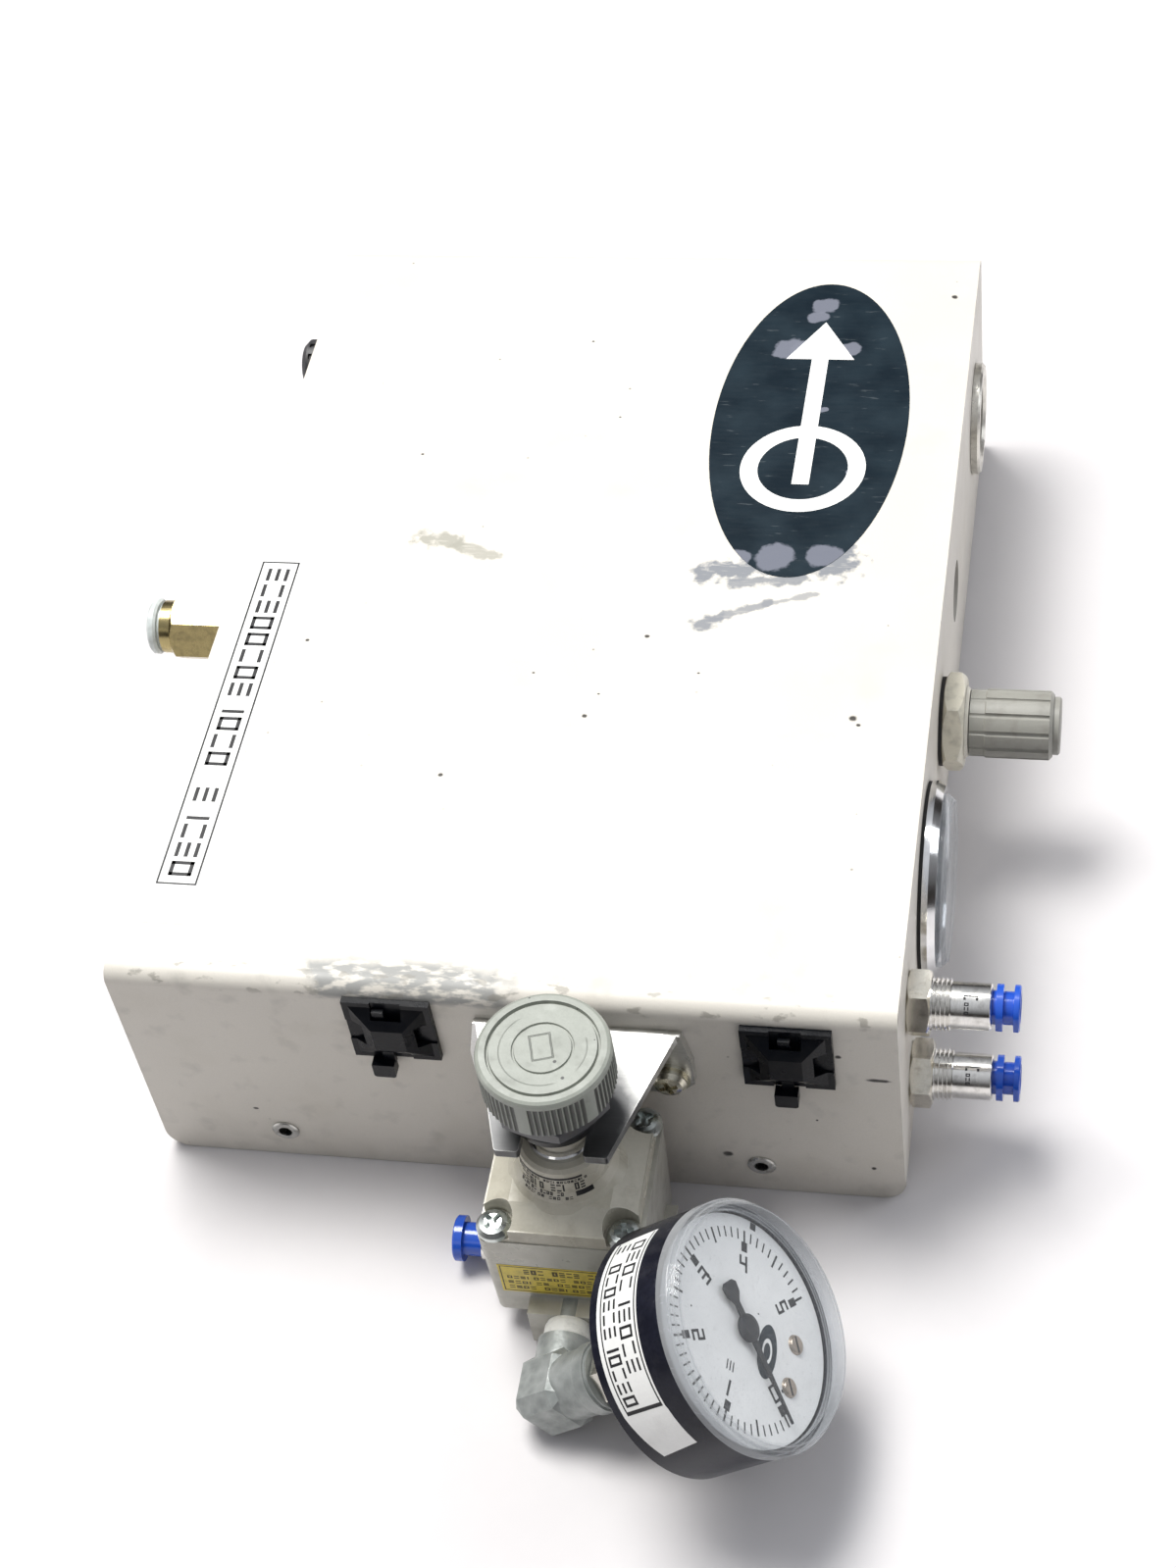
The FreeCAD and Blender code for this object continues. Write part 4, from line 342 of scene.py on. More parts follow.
def clear_lens(name, centre, axis, window):
    """Moulded polycarbonate: a clear window inside a smoky rim with moulding rings."""
    g = Graph(name)
    offset = g.vector("SUBTRACT", g.place, centre)
    along = g.add("ShaderNodeVectorMath", operation="SCALE")
    along.inputs[0].default_value = axis
    g.feed(along.inputs["Scale"], g.vector("DOT_PRODUCT", offset, axis))
    reach = g.vector("LENGTH", g.vector("SUBTRACT", offset, along.outputs["Vector"]))
    rim_zone = g.span(reach, window, window + 0.5)
    rings = g.span(g.math("SINE", g.math("MULTIPLY", reach, 8.0)), -0.4, 0.9)
    smoky = g.math("MULTIPLY", rim_zone, g.span(rings, 0, 1, 0.35, 1.0))
    scratches = g.span(g.noise(0.8, 4, (6, 1, 1), offset=2), 0.60, 0.72)
    haze = g.span(g.noise(7, 3), 0.4, 0.8)
    clear = g.add("ShaderNodeBsdfTransparent")
    g.feed(clear.inputs["Color"], g.mix(smoky, (0.975, 0.98, 0.985), (0.60, 0.62, 0.64)))
    gloss = g.add("ShaderNodeBsdfPrincipled")
    g.feed(gloss.inputs["Base Color"], g.mix(haze, (0.80, 0.82, 0.84), (0.90, 0.91, 0.92)))
    g.feed(gloss.inputs["Roughness"], g.span(scratches, 0, 1, 0.04, 0.28))
    g.feed(gloss.inputs["Normal"], g.bump(g.noise(5, 2, offset=4), 0.02))
    facing = g.add("ShaderNodeLayerWeight")
    facing.inputs["Blend"].default_value = 0.5
    rim = g.math("POWER", facing.outputs["Facing"], 4.0)
    share = g.math("ADD", g.math("MULTIPLY", rim, 0.5), g.span(scratches, 0, 1, 0.035, 0.11))
    share = g.math("ADD", share, g.math("MULTIPLY", smoky, 0.22))
    blend = g.add("ShaderNodeMixShader")
    g.feed(blend.inputs["Fac"], share)
    g.tree.links.new(clear.outputs[0], blend.inputs[1])
    g.tree.links.new(gloss.outputs[0], blend.inputs[2])
    output = g.add("ShaderNodeOutputMaterial")
    g.tree.links.new(blend.outputs[0], output.inputs["Surface"])
    return g.material


def galvanised(name):
    """Hot-dip zinc on cast iron: spangled greys over a pitted skin."""
    g = Graph(name)
    spangle = g.cells(2.6)
    pits = g.noise(0.7, 4, offset=5)
    wide = g.noise(6, 4, offset=9)
    shade = g.mix(g.span(spangle, 0.1, 0.8), (0.30, 0.32, 0.31), (0.44, 0.46, 0.45))
    shade = g.mix(g.span(wide, 0.40, 0.70, 0, 0.6), shade, (0.22, 0.24, 0.23))
    shade = g.mix(g.math("MULTIPLY", g.edges(0.6), 0.4), shade, (0.56, 0.58, 0.57))
    rough = g.span(pits, 0.3, 0.7, 0.42, 0.66)
    below = g.bump(wide, 0.16)
    return g.surface(shade, rough, g.bump(pits, 0.06, below), Metallic=0.55)


def bracket_zinc(name):
    """Bright zinc plate, brushed along X, with painted shade round the regulator's neck: the knob's
    shadow and its dark reflection in the zinc.
    """
    g = Graph(name)
    brushed = g.noise(0.35, 3, (9, 1, 1), offset=3)
    patches = g.noise(7, 5, offset=11)
    shade = g.mix(g.span(patches, 0.3, 0.7), (0.60, 0.60, 0.58), (0.72, 0.72, 0.70))
    shade = g.mix(g.span(brushed, 0.4, 0.7, 0, 0.4), shade, (0.46, 0.46, 0.45))
    # Painted shade: the plate darkens to near black within about 20 mm of the neck, standing in for
    # the knob's shadow and its dark reflection, and it is rougher there.
    offset = g.vector("SUBTRACT", g.place, (14.0, -152.0, 0))
    away = g.vector("LENGTH", g.vector("MULTIPLY", offset, (1, 1, 0)))
    away = g.math("ADD", away, g.math("MULTIPLY", g.math("SUBTRACT", patches, 0.5), 8))
    grime_and_shade = g.span(away, 27, 19, 0, 0.88)
    shade = g.mix(grime_and_shade, shade, (0.055, 0.056, 0.060))
    shade = g.mix(g.math("MULTIPLY", g.edges(0.4), 0.4), shade, (0.80, 0.80, 0.78))
    rough = g.math("ADD", g.span(patches, 0.3, 0.7, 0.22, 0.36), g.math("MULTIPLY", grime_and_shade, 0.16))
    return g.surface(shade, rough, g.bump(brushed, 0.006, g.bump(patches, 0.02)), Metallic=1.0)


def gauge_black(name):
    """Deep gloss black steel with faint orange peel, dust and rubbed edges."""
    return plastic(name, (0.012, 0.013, 0.022), tone=0.25, grain=1.2, grain_depth=0.012, dirt=0.10,
                   dirt_colour=(0.10, 0.10, 0.11), wear=0.5, wear_colour=(0.10, 0.10, 0.11),
                   roughness=0.22, spread=0.08, Specular_IOR_Level=0.22)


def moulded_knob(name):
    """Grey-green nylon: an engraved frame, fine arcs, painted shade in the grooves, rubbed spots
    and specks.
    """
    grey = (0.295, 0.312, 0.275)
    g = Graph(name)
    wide = g.noise(8, 4)
    fine = g.noise(0.4, 3, offset=3)
    grime_and_shade = g.noise(2.6, 6, offset=11)
    centre_x, centre_y, top_level = KNOB_TOP
    off_centre = 0.35
    near = g.vector("SUBTRACT", g.place, (centre_x - off_centre, centre_y + off_centre, top_level))
    cosine, sine = math.cos(KNOB_TURN), math.sin(KNOB_TURN)
    across = g.vector("DOT_PRODUCT", near, (cosine, sine, 0))
    along = g.vector("DOT_PRODUCT", near, (-sine, cosine, 0))
    frame_reach = g.math("MAXIMUM", g.math("SUBTRACT", g.math("ABSOLUTE", across), 2.15),
                         g.math("SUBTRACT", g.math("ABSOLUTE", along), 3.1))
    ragged = g.math("MULTIPLY", g.math("SUBTRACT", grime_and_shade, 0.5), 0.35)
    line = g.math("ABSOLUTE", g.math("ADD", frame_reach, ragged))
    depth = g.vector("DOT_PRODUCT", near, (0, 0, 1))
    top = g.span(depth, -0.9, -0.5)
    engraved = g.math("MULTIPLY", g.span(line, 0.26, 0.10), top)
    centred = g.vector("SUBTRACT", g.place, KNOB_TOP)
    reach = g.vector("LENGTH", g.vector("MULTIPLY", centred, (1, 1, 0)))
    arc = g.math("ABSOLUTE", g.math("SUBTRACT", reach, 9.3))
    arc = g.math("MULTIPLY", g.span(arc, 0.16, 0.05), g.span(g.noise(11, 1, offset=41), 0.48, 0.56))
    engraved = g.math("MAXIMUM", engraved, g.math("MULTIPLY", g.math("MULTIPLY", arc, top), 0.5))
    shade = g.mix(g.span(wide, 0.3, 0.7), tinted(grey, 0.93), tinted(grey, 1.08))
    shade = g.mix(g.span(fine, 0.4, 0.7, 0, 0.4), shade, tinted(grey, 0.84))
    shade = g.mix(g.math("MULTIPLY", g.span(grime_and_shade, 0.56, 0.74), 0.30), shade, (0.12, 0.12, 0.105))
    pale = g.span(g.noise(5, 5, offset=47), 0.58, 0.72)
    shade = g.mix(g.math("MULTIPLY", pale, 0.35), shade, (0.44, 0.46, 0.42))
    shade = g.mix(g.math("MULTIPLY", engraved, 0.75), shade, (0.075, 0.08, 0.07))
    spots = None
    for side, back, radius in KNOB_SPECKS:
        from_spot = g.vector("SUBTRACT", g.place, (centre_x + side, centre_y + back, top_level))
        away = g.vector("LENGTH", g.vector("MULTIPLY", from_spot, (1, 1, 0)))
        spot = g.math("MULTIPLY", g.span(g.math("ADD", away, ragged), radius, radius * 0.6), top)
        spots = spot if spots is None else g.math("MAXIMUM", spots, spot)
    shade = g.mix(spots, shade, (0.035, 0.035, 0.035))
    # Painted shade: the knob within 14.25 mm of its axis and more than about 2 mm below its top,
    # which is the groove bottoms between its side ribs and its underside, is darkened to near
    # black.
    below_top = g.math("SUBTRACT", 1.0, g.span(depth, -2.4, -1.4))
    groove_shade = g.math("MULTIPLY", g.span(reach, 14.47, 14.25), below_top)
    shade = g.mix(g.math("MULTIPLY", groove_shade, 0.85), shade, (0.035, 0.036, 0.033))
    corner = g.math("MULTIPLY", g.edges(0.35), g.span(g.noise(2, 4, offset=5), 0.4, 0.62))
    shade = g.mix(g.math("MULTIPLY", corner, 0.35), shade, (0.46, 0.48, 0.43))
    rough = g.span(grime_and_shade, 0.3, 0.7, 0.30, 0.46)
    below = g.bump(g.math("SUBTRACT", g.math("MULTIPLY", fine, 0.1), engraved), 0.12)
    return g.surface(shade, rough, g.bump(g.noise(1.4, 3, offset=9), 0.02, below),
                     Specular_IOR_Level=0.5)


KNOB_TURN = math.radians(17)  # the engraved frame's turn
# Specks on the knob: X and Y from its axis, and radius.
KNOB_SPECKS = ((3.1, -3.1, 0.50), (5.4, -7.0, 0.45), (5.4, 10.4, 0.45), (-5.0, 12.5, 0.25),
               (10.5, 3.0, 0.2))
CREAM = (0.70, 0.665, 0.60)
ZINC = (0.72, 0.72, 0.70)
NICKEL = (0.86, 0.845, 0.81)
BRASS = (0.42, 0.345, 0.165)
BLUE = (0.015, 0.085, 0.52)
SLATE = (0.006, 0.007, 0.011)
NYLON_BLACK = (0.0022, 0.0030, 0.0050)


def blue_collar(name):
    return plastic(name, BLUE, roughness=0.2, dirt=0.08, Coat_Weight=0.3)


FINISHES = {
    "cover": cream_paint("cream_paint", CREAM),
    "chassis": cream_paint("cream_paint_base", CREAM),
    "rivet_nuts": machined("rivet_zinc", (0.62, 0.62, 0.59), dirt=0.6),
    "rear_cover_screws": machined("screw_zinc_rear", ZINC),
    "tie_mounts": plastic("nylon_black", NYLON_BLACK, roughness=0.30, dirt=0.04, wear=0.12,
                          grain=0.8, grain_depth=0.02, Specular_IOR_Level=0.16),
    "cable_ties": plastic("nylon_tie_black", NYLON_BLACK, roughness=0.30, dirt=0.05, wear=0.12,
                          Specular_IOR_Level=0.20),
    "mounting_bracket": bracket_zinc("bracket_zinc"),
    "bracket_screws": machined("screw_zinc_yellow", (0.66, 0.63, 0.52)),
    "bracket_nuts": machined("nut_zinc", ZINC),
    "connector_shell": machined("connector_nickel", (0.74, 0.72, 0.66), roughness=0.34),
    "connector_insert": plastic("connector_black", SLATE),
    "silencer": plastic("silencer_black", (0.03, 0.03, 0.034), roughness=0.5),
    "inlet_fitting": machined("brass_machined", BRASS, (1, 6, 6)),
    "inlet_nut": machined("brass_nut", BRASS, (1, 6, 6)),
    "inlet_collar": plastic("collar_pale", (0.66, 0.71, 0.70), dirt=0.35),
    "bulkhead_upper": machined("nickel_upper", NICKEL, (1, 6, 6), roughness=0.18),
    "bulkhead_lower": machined("nickel_lower", NICKEL, (1, 6, 6), roughness=0.18),
    "bulkhead_nuts": machined("nickel_nuts", (0.88, 0.84, 0.74), roughness=0.22, spread=0.06,
                              dirt=0.3),
    "bulkhead_collar_upper": blue_collar("blue_upper"),
    "bulkhead_collar_lower": blue_collar("blue_lower"),
    "regulator_inlet_fitting": machined("nickel_inlet", NICKEL, (1, 6, 6)),
    "regulator_outlet_fitting": machined("nickel_outlet", NICKEL, (1, 6, 6)),
    "regulator_inlet_collar": blue_collar("blue_inlet"),
    "regulator_outlet_collar": blue_collar("blue_outlet"),
    "panel_gauge_case": machined("panel_case_steel", (0.45, 0.45, 0.45)),
    "panel_gauge_bezel": machined("panel_bezel_chrome", (0.92, 0.92, 0.92), roughness=0.12,
                                  spread=0.05, dirt=0.08),
    "panel_gauge_lens": clear_lens("panel_lens_clear", PANEL_AT, Vector((1, 0, 0)), 18.6),
    "panel_gauge_dial": plastic("panel_dial_white", (0.86, 0.86, 0.84), dirt=0.06, wear=0.1,
                                roughness=0.5),
    "panel_gauge_needle": plastic("panel_needle_black", SLATE, roughness=0.5),
    "panel_gaskets": plastic("gasket_black", (0.02, 0.02, 0.02), roughness=0.7),
    "panel_regulator_body": machined("panel_regulator_zinc", (0.6, 0.6, 0.58), roughness=0.45),
    "panel_regulator_bonnet": plastic("panel_bonnet_resin", (0.68, 0.65, 0.56)),
    "panel_regulator_nut": plastic("panel_nut_resin", (0.74, 0.70, 0.58), dirt=0.35),
    "panel_stem": machined("panel_stem_brass", BRASS),
    "panel_knob": plastic("panel_knob_grey", (0.30, 0.295, 0.265), dirt=0.25, roughness=0.4),
    "solenoid_valve": machined("valve_aluminium", (0.72, 0.72, 0.72)),
    "solenoid_coil": plastic("coil_black", (0.03, 0.03, 0.03)),
    "internal_tubes": plastic("tube_nylon", (0.08, 0.16, 0.45)),
    "regulator_body": finish("regulator_casting", (0.47, 0.46, 0.41), tone=0.05, patch=16,
                             grain=0.8, grain_depth=0.04, dirt=0.28, wear=0.5,
                             wear_colour=(0.58, 0.57, 0.53), roughness=0.36, specks=0.5,
                             Metallic=0.25),
    "regulator_bonnet": finish("bonnet_casting", (0.50, 0.475, 0.395), tone=0.05, patch=15,
                               grain=0.9, grain_depth=0.035, dirt=0.30,
                               dirt_colour=(0.17, 0.14, 0.09), wear=0.6,
                               wear_colour=(0.68, 0.66, 0.60), roughness=0.26, spread=0.08,
                               specks=0.7),
    "bonnet_screws": machined("bonnet_screw_zinc", (0.62, 0.66, 0.64), roughness=0.30),
    "neck_ring": machined("neck_chrome", (0.80, 0.80, 0.80), roughness=0.12),
    "panel_ring_nut": plastic("ring_nut_black", (0.008, 0.008, 0.009), roughness=0.35),
    "diaphragm": plastic("diaphragm_rubber", (0.04, 0.04, 0.04), roughness=0.7),
    "bottom_plug": machined("plug_brass", BRASS),
    "knob": moulded_knob("knob_grey"),
    "adjusting_screw": machined("adjuster_steel", (0.35, 0.35, 0.35)),
    "lock_nut": plastic("lock_nut_grey", (0.085, 0.085, 0.09), dirt=0.5, roughness=0.35),
    "spring_seat": machined("seat_brass", BRASS),
    "range_spring": machined("spring_steel", (0.45, 0.45, 0.46)),
    "poppet": machined("poppet_brass", BRASS),
    "elbow": galvanised("elbow_galvanised"),
    "thread_tape": finish("tape_white", (0.84, 0.84, 0.80), tone=0.04, patch=4, grain=0.5,
                          grain_depth=0.09, brushed=(7, 0.6, 7), dirt=0.2, wear=0.2,
                          roughness=0.55),
    "gauge_socket": machined("socket_nickel", (0.66, 0.64, 0.58)),
    "gauge_case": gauge_black("gauge_case_black"),
    "gauge_lens": clear_lens("gauge_lens_clear", GAUGE_AT, GAUGE_OUT, 24.6),
    "gauge_dial": plastic("gauge_dial_white", (0.82, 0.82, 0.81), dirt=0.05, wear=0.05,
                          roughness=0.5),
    "gauge_needle": plastic("needle_black", SLATE, roughness=0.45),
    "bourdon_tube": machined("bourdon_bronze", (0.58, 0.46, 0.24)),
    "gauge_sector": machined("sector_brass", BRASS),
}
for node, material in FINISHES.items():
    mesh = nodes[node].data
    mesh.materials.clear()
    mesh.materials.append(material)
missing = sorted(set(nodes) - set(FINISHES))
if missing:
    raise RuntimeError(f"no finish for {missing}")


# ---------------------------------------------------------------- printed and stuck-on pieces

INK = plastic("ink_black", (0.012, 0.012, 0.014), tone=0.3, dirt=0.0, wear=0.0, roughness=0.5)
INK_RED = plastic("ink_red", (0.45, 0.02, 0.015), dirt=0.0, wear=0.0, roughness=0.5)
INK_BROWN = plastic("ink_brown", (0.10, 0.075, 0.03), tone=0.3, dirt=0.0, wear=0.0, roughness=0.5)
PAPER = finish("label_white", (0.86, 0.86, 0.84), tone=0.03, patch=18, grain=0.6, grain_depth=0.006,
               dirt=0.10, wear=0.1, roughness=0.32, spread=0.08)
YELLOW = finish("label_yellow", (0.74, 0.58, 0.075), tone=0.10, patch=7, grain=0.5,
                grain_depth=0.008, dirt=0.30, wear=0.3, roughness=0.4)
DECAL_WHITE = finish("decal_white", (0.86, 0.86, 0.84), tone=0.04, patch=9, dirt=0.15, wear=0.0,
                     roughness=0.35)
SCREW_BROWN = machined("dial_screw_bronze", (0.42, 0.36, 0.30), roughness=0.35)


def paint_worn_oval(name):
    """Dark vinyl with scratches, grey paint blots and a scraped edge."""
    g = Graph(name)
    wide = g.noise(14, 5)
    scratches = g.noise(0.8, 5, (7, 1.2, 1), offset=8)
    ragged = g.math("SUBTRACT", g.noise(3.0, 6, offset=17), 0.5)
    shade = g.mix(g.span(wide, 0.35, 0.7), (0.003, 0.010, 0.017), (0.010, 0.022, 0.032))
    shade = g.mix(g.span(scratches, 0.66, 0.72, 0, 0.3), shade, (0.13, 0.15, 0.16))
    blots = (((41.0, 87.7), 4.3), ((44.5, 88.2), 3.0), ((48.5, 105.6), 3.2), ((56.6, 88.1), 2.6),
             ((47.0, 101.0), 2.4), ((36.0, 8.5), 3.6), ((46.0, 9.5), 4.8), ((58.0, 10.5), 4.2),
             ((52.0, 64.0), 0.9), ((62.0, 41.0), 1.0))
    for (side, back), radius in blots:
        distance = g.math("ADD", capsule(g, (side, back), (side + 1.5, back + 0.5)),
                          g.math("MULTIPLY", ragged, radius * 0.9))
        shade = g.mix(g.span(distance, radius, radius * 0.8, 0, 0.92), shade, (0.17, 0.18, 0.22))
    rough = g.span(g.math("ADD", wide, scratches), 0.8, 1.3, 0.34, 0.55)
    texture = g.bump(g.noise(0.7, 3, offset=2), 0.012)
    return g.surface(shade, rough, texture, Specular_IOR_Level=0.16)


OVAL = paint_worn_oval("decal_dark_blue")


def new_piece(name, mesh, material, body=ROOT, smooth=False):
    """A mesh already in the row frame, in metres, riding on a body."""
    mesh.materials.append(material)
    for face in mesh.polygons:
        face.use_smooth = smooth
    piece = bpy.data.objects.new(name, mesh)
    bpy.context.scene.collection.objects.link(piece)
    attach(piece, body)
    return piece


def plates(name, outlines, thick, place, material, body=ROOT, fineness=None):
    """Thin plates from outlines in mm. `place` maps (u, v, height) to the row frame in mm.

    `fineness` is the spacing in u of the cuts that let a long plate follow a curve."""
    bm = bmesh.new()
    for outline in outlines:
        low = [bm.verts.new((u, v, 0)) for u, v in outline]
        high = [bm.verts.new((u, v, thick)) for u, v in outline]
        bm.faces.new(high)
        bm.faces.new(reversed(low))
        for i, corner in enumerate(low):
            j = (i + 1) % len(low)
            bm.faces.new((corner, low[j], high[j], high[i]))
    if fineness:
        first = min(v.co.x for v in bm.verts)
        count = int((max(v.co.x for v in bm.verts) - first) / fineness)
        for step in range(1, count + 1):
            everything = bm.verts[:] + bm.edges[:] + bm.faces[:]
            point = (first + step * fineness, 0, 0)
            bmesh.ops.bisect_plane(bm, geom=everything, plane_co=point, plane_no=(1, 0, 0))
    for vertex in bm.verts:
        vertex.co = Vector(place(*vertex.co)) * MM
    bmesh.ops.recalc_face_normals(bm, faces=bm.faces)
    mesh = bpy.data.meshes.new(name)
    bm.to_mesh(mesh)
    bm.free()
    return new_piece(name, mesh, material, body)


def surface_of(node):
    return BVHTree.FromPolygons([v.co for v in nodes[node].data.vertices],
                                [p.vertices for p in nodes[node].data.polygons])


def laid_on(tree, start, toward):
    """Maps (u, v, height) onto a surface: from start(u, v), straight along toward(u, v), in mm."""
    def place(u, v, height):
        origin, direction = Vector(start(u, v)), Vector(toward(u, v)).normalized()
        hit = tree.ray_cast(origin * MM, direction)[0]
        if hit is None:
            raise RuntimeError(f"nothing under the print at {u:.1f}, {v:.1f}")
        return hit / MM - direction * height
    return place


def box_outline(left, low, right, high):
    return [(left, low), (right, low), (right, high), (left, high)]


def ellipse(side, back, half_wide, half_tall, count=96):
    return [(side + half_wide * math.cos(math.tau * i / count),
             back + half_tall * math.sin(math.tau * i / count)) for i in range(count)]


def ring_outlines(side, back, inner, outer, count):
    """A ring as `count` plates between two ellipses, each given by its two half widths."""
    outlines = []
    for step in range(count):
        a, b = math.tau * step / count, math.tau * (step + 1) / count
        outlines.append([(side + half[0] * math.cos(turn), back + half[1] * math.sin(turn))
                         for half, turn in ((inner, a), (outer, a), (outer, b), (inner, b))])
    return outlines


def bar(start, end, width):
    """A straight stroke as a four-cornered outline."""
    along = (Vector(end) - Vector(start)).normalized()
    across = Vector((-along.y, along.x)) * width / 2
    return [tuple(Vector(p)) for p in (Vector(start) - across, Vector(end) - across,
                                      Vector(end) + across, Vector(start) + across)]


def border(left, low, right, high, width):
    return [box_outline(left, low, right, low + width),
            box_outline(left, high - width, right, high),
            box_outline(left, low + width, left + width, high - width),
            box_outline(right - width, low + width, right, high - width)]


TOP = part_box("cover")[1].z / MM


def on_top(u, v, height):
    return (u, v, TOP + height)


def glyphs(left, right, low, high, upright, level, pattern):
    """Plain shapes in place of lettering: o box, z two bars, e three bars, i upright, - gap.

    `upright` is an upright stroke's width in u, `level` a level stroke's in v."""
    outlines = []
    step, margin = (right - left) / len(pattern), 0.12
    for place_in_row, kind in enumerate(pattern):
        if kind == "-":
            continue
        a = left + step * (place_in_row + margin)
        b = left + step * (place_in_row + 1 - margin)
        sides = {"o": "lrtb", "z": "tb", "i": "l", "e": "tmb"}[kind]
        bars = {"l": (a, low, a + upright, high), "r": (b - upright, low, b, high),
                "t": (a, high - level, b, high), "b": (a, low, b, low + level),
                "m": (a, (low + high - level) / 2, b, (low + high + level) / 2)}
        outlines += [box_outline(*bars[side]) for side in sides]
    return outlines


# The range spring: a copy with its own mesh stands in for the imported one.
low, high = (corner.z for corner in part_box("range_spring"))
wire = nodes["range_spring"].data.copy()
wire.materials.clear()
coil = new_piece("range_spring_coil", wire, FINISHES["range_spring"], smooth=True)
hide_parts("range_spring")
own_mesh(coil)

# Oval decal with a plain ring and arrow.
VINYL = 0.12  # thickness of the oval
plates("decal_oval", [ellipse(50, 59, 25.2, 56)], VINYL, on_top, OVAL)
plates("decal_ring", ring_outlines(50, 42, (11.5, 11.5), (16.0, 16.0), 48), 0.05,
       lambda u, v, h: on_top(u, v, VINYL + h), DECAL_WHITE)
arrow = [(47.8, 36), (52.2, 36), (52.2, 84), (59, 84), (50, 99), (41, 84), (47.8, 84)]
plates("decal_arrow", [arrow], 0.05, lambda u, v, h: on_top(u, v, VINYL + 0.06 + h), DECAL_WHITE)


# Label tape along the left edge: white tape, ruled border, boxes and bars for the words.
def along_tape(u, v, height):
    return (v, u, TOP + height)


TAPE = 0.10  # thickness of the tape
plates("label_tape", [box_outline(-113.6, -85.0, 14.0, -72.0)], TAPE, along_tape, PAPER)
tape_print = border(-102.4, -83.2, 2.6, -73.4, 0.45)
tape_print += glyphs(-100.5, 0.8, -81.0, -75.4, 0.95, 0.95, "oezie-ozoieozooeze")
plates("label_tape_print", tape_print, 0.03, lambda u, v, h: along_tape(u, v, TAPE + h), INK)

# Regulator: yellow label on the body's drafted front face and print round the bonnet's neck.
on_body = laid_on(surface_of("regulator_body"), lambda u, v: (u, -190, v),
                  lambda u, v: (0, 1, 0))
LABEL = 0.08  # thickness of the yellow label
plates("body_label", [box_outline(3.4, 14.6, 33.6, 26.0)], LABEL, on_body, YELLOW, fineness=3)
label_print = border(3.9, 15.0, 33.1, 25.6, 0.26)
label_print += glyphs(9.0, 30.0, 22.6, 24.5, 0.5, 0.42, "eoz-oeze-zoei")
for row, pattern in enumerate(("ozeiozeoz-eozieozo", "ezoize-ozeoz-ieoz", "zeoz-ozeioze-oezo")):
    base = 20.4 - 2.1 * row
    label_print += glyphs(5.0, 32.0, base, base + 1.1, 0.30, 0.28, pattern)
plates("body_label_print", label_print, 0.02, lambda u, v, h: on_body(u, v, LABEL + h),
       INK_BROWN, fineness=3)


def neck_start(u, v):
    """40 mm from the regulator's axis at u degrees from the front, at level v."""
    turn = math.radians(u)
    return (AXIS.x + 40 * math.sin(turn), AXIS.y - 40 * math.cos(turn), v)


def neck_toward(u, v):
    start = neck_start(u, v)
    return (AXIS.x - start[0], AXIS.y - start[1], 0)


on_neck = laid_on(surface_of("regulator_bonnet"), neck_start, neck_toward)
neck_print = [box_outline(-62, 50.3, 34, 50.9)]
neck_print += glyphs(-60, 40, 49.3, 50.0, 1.1, 0.20, "ozeiozeoz-eozieozoezeio")
neck_print += glyphs(-52, 36, 46.7, 48.9, 2.1, 0.42, "zeoio-ezi-oe")
neck_print += glyphs(-52, 8, 45.4, 46.3, 1.2, 0.24, "ozeioz-ezoe-zo")
neck_print += glyphs(-44, 18, 44.5, 45.1, 0.8, 0.16, "eozioe-zeo-ez")
neck_print += [box_outline(22, 45.0, 44, 46.2)]
plates("neck_print", neck_print, 0.03, on_neck, INK, fineness=2)

# Small printed marks on the two union barrels.
for name, level in (("upper", 48.0), ("lower", 21.0)):
    def barrel_start(u, v, level=level):
        """20 mm from the barrel's axis at u degrees above the front, at X = v."""
        turn = math.radians(u)
        return (v, -107.5 - 20 * math.cos(turn), level + 20 * math.sin(turn))

    def barrel_toward(u, v):
        return (0, math.cos(math.radians(u)), -math.sin(math.radians(u)))

    marks = glyphs(30, 62, 101.6, 102.6, 2.6, 0.25, "ozo")
    marks += glyphs(66, 84, 101.4, 104.6, 3.4, 0.5, "zi")
    plates(f"bulkhead_{name}_print", marks, 0.03,
           laid_on(surface_of(f"bulkhead_{name}"), barrel_start, barrel_toward), INK, fineness=4)

# ---------------------------------------------------------------- gauge dials


def gauge_place(level):
    def place(u, v, height):
        return GAUGE_AT + GAUGE_THREE * u + GAUGE_NOON * v + GAUGE_OUT * (level + height)
    return place


def panel_place(level):
    """Right wall: three o'clock points to +Y, noon is up."""
    def place(u, v, height):
        return PANEL_AT + Vector((level + height, u, v))
    return place


def clock(angle, radius):
    turn = math.radians(angle)
    return (radius * math.sin(turn), radius * math.cos(turn))


# The strokes of each digit, and each stroke's ends in a unit box.
SEGMENTS = {"0": "abcdef", "1": "bc", "2": "abged", "3": "abgcd", "4": "fgbc", "5": "afgcd",
            "6": "afgedc"}
STROKES = {"a": ((0, 1), (1, 1)), "b": ((1, 1), (1, 0.5)), "c": ((1, 0.5), (1, 0)),
           "d": ((0, 0), (1, 0)), "e": ((0, 0), (0, 0.5)), "f": ((0, 0.5), (0, 1)),
           "g": ((0, 0.5), (1, 0.5))}


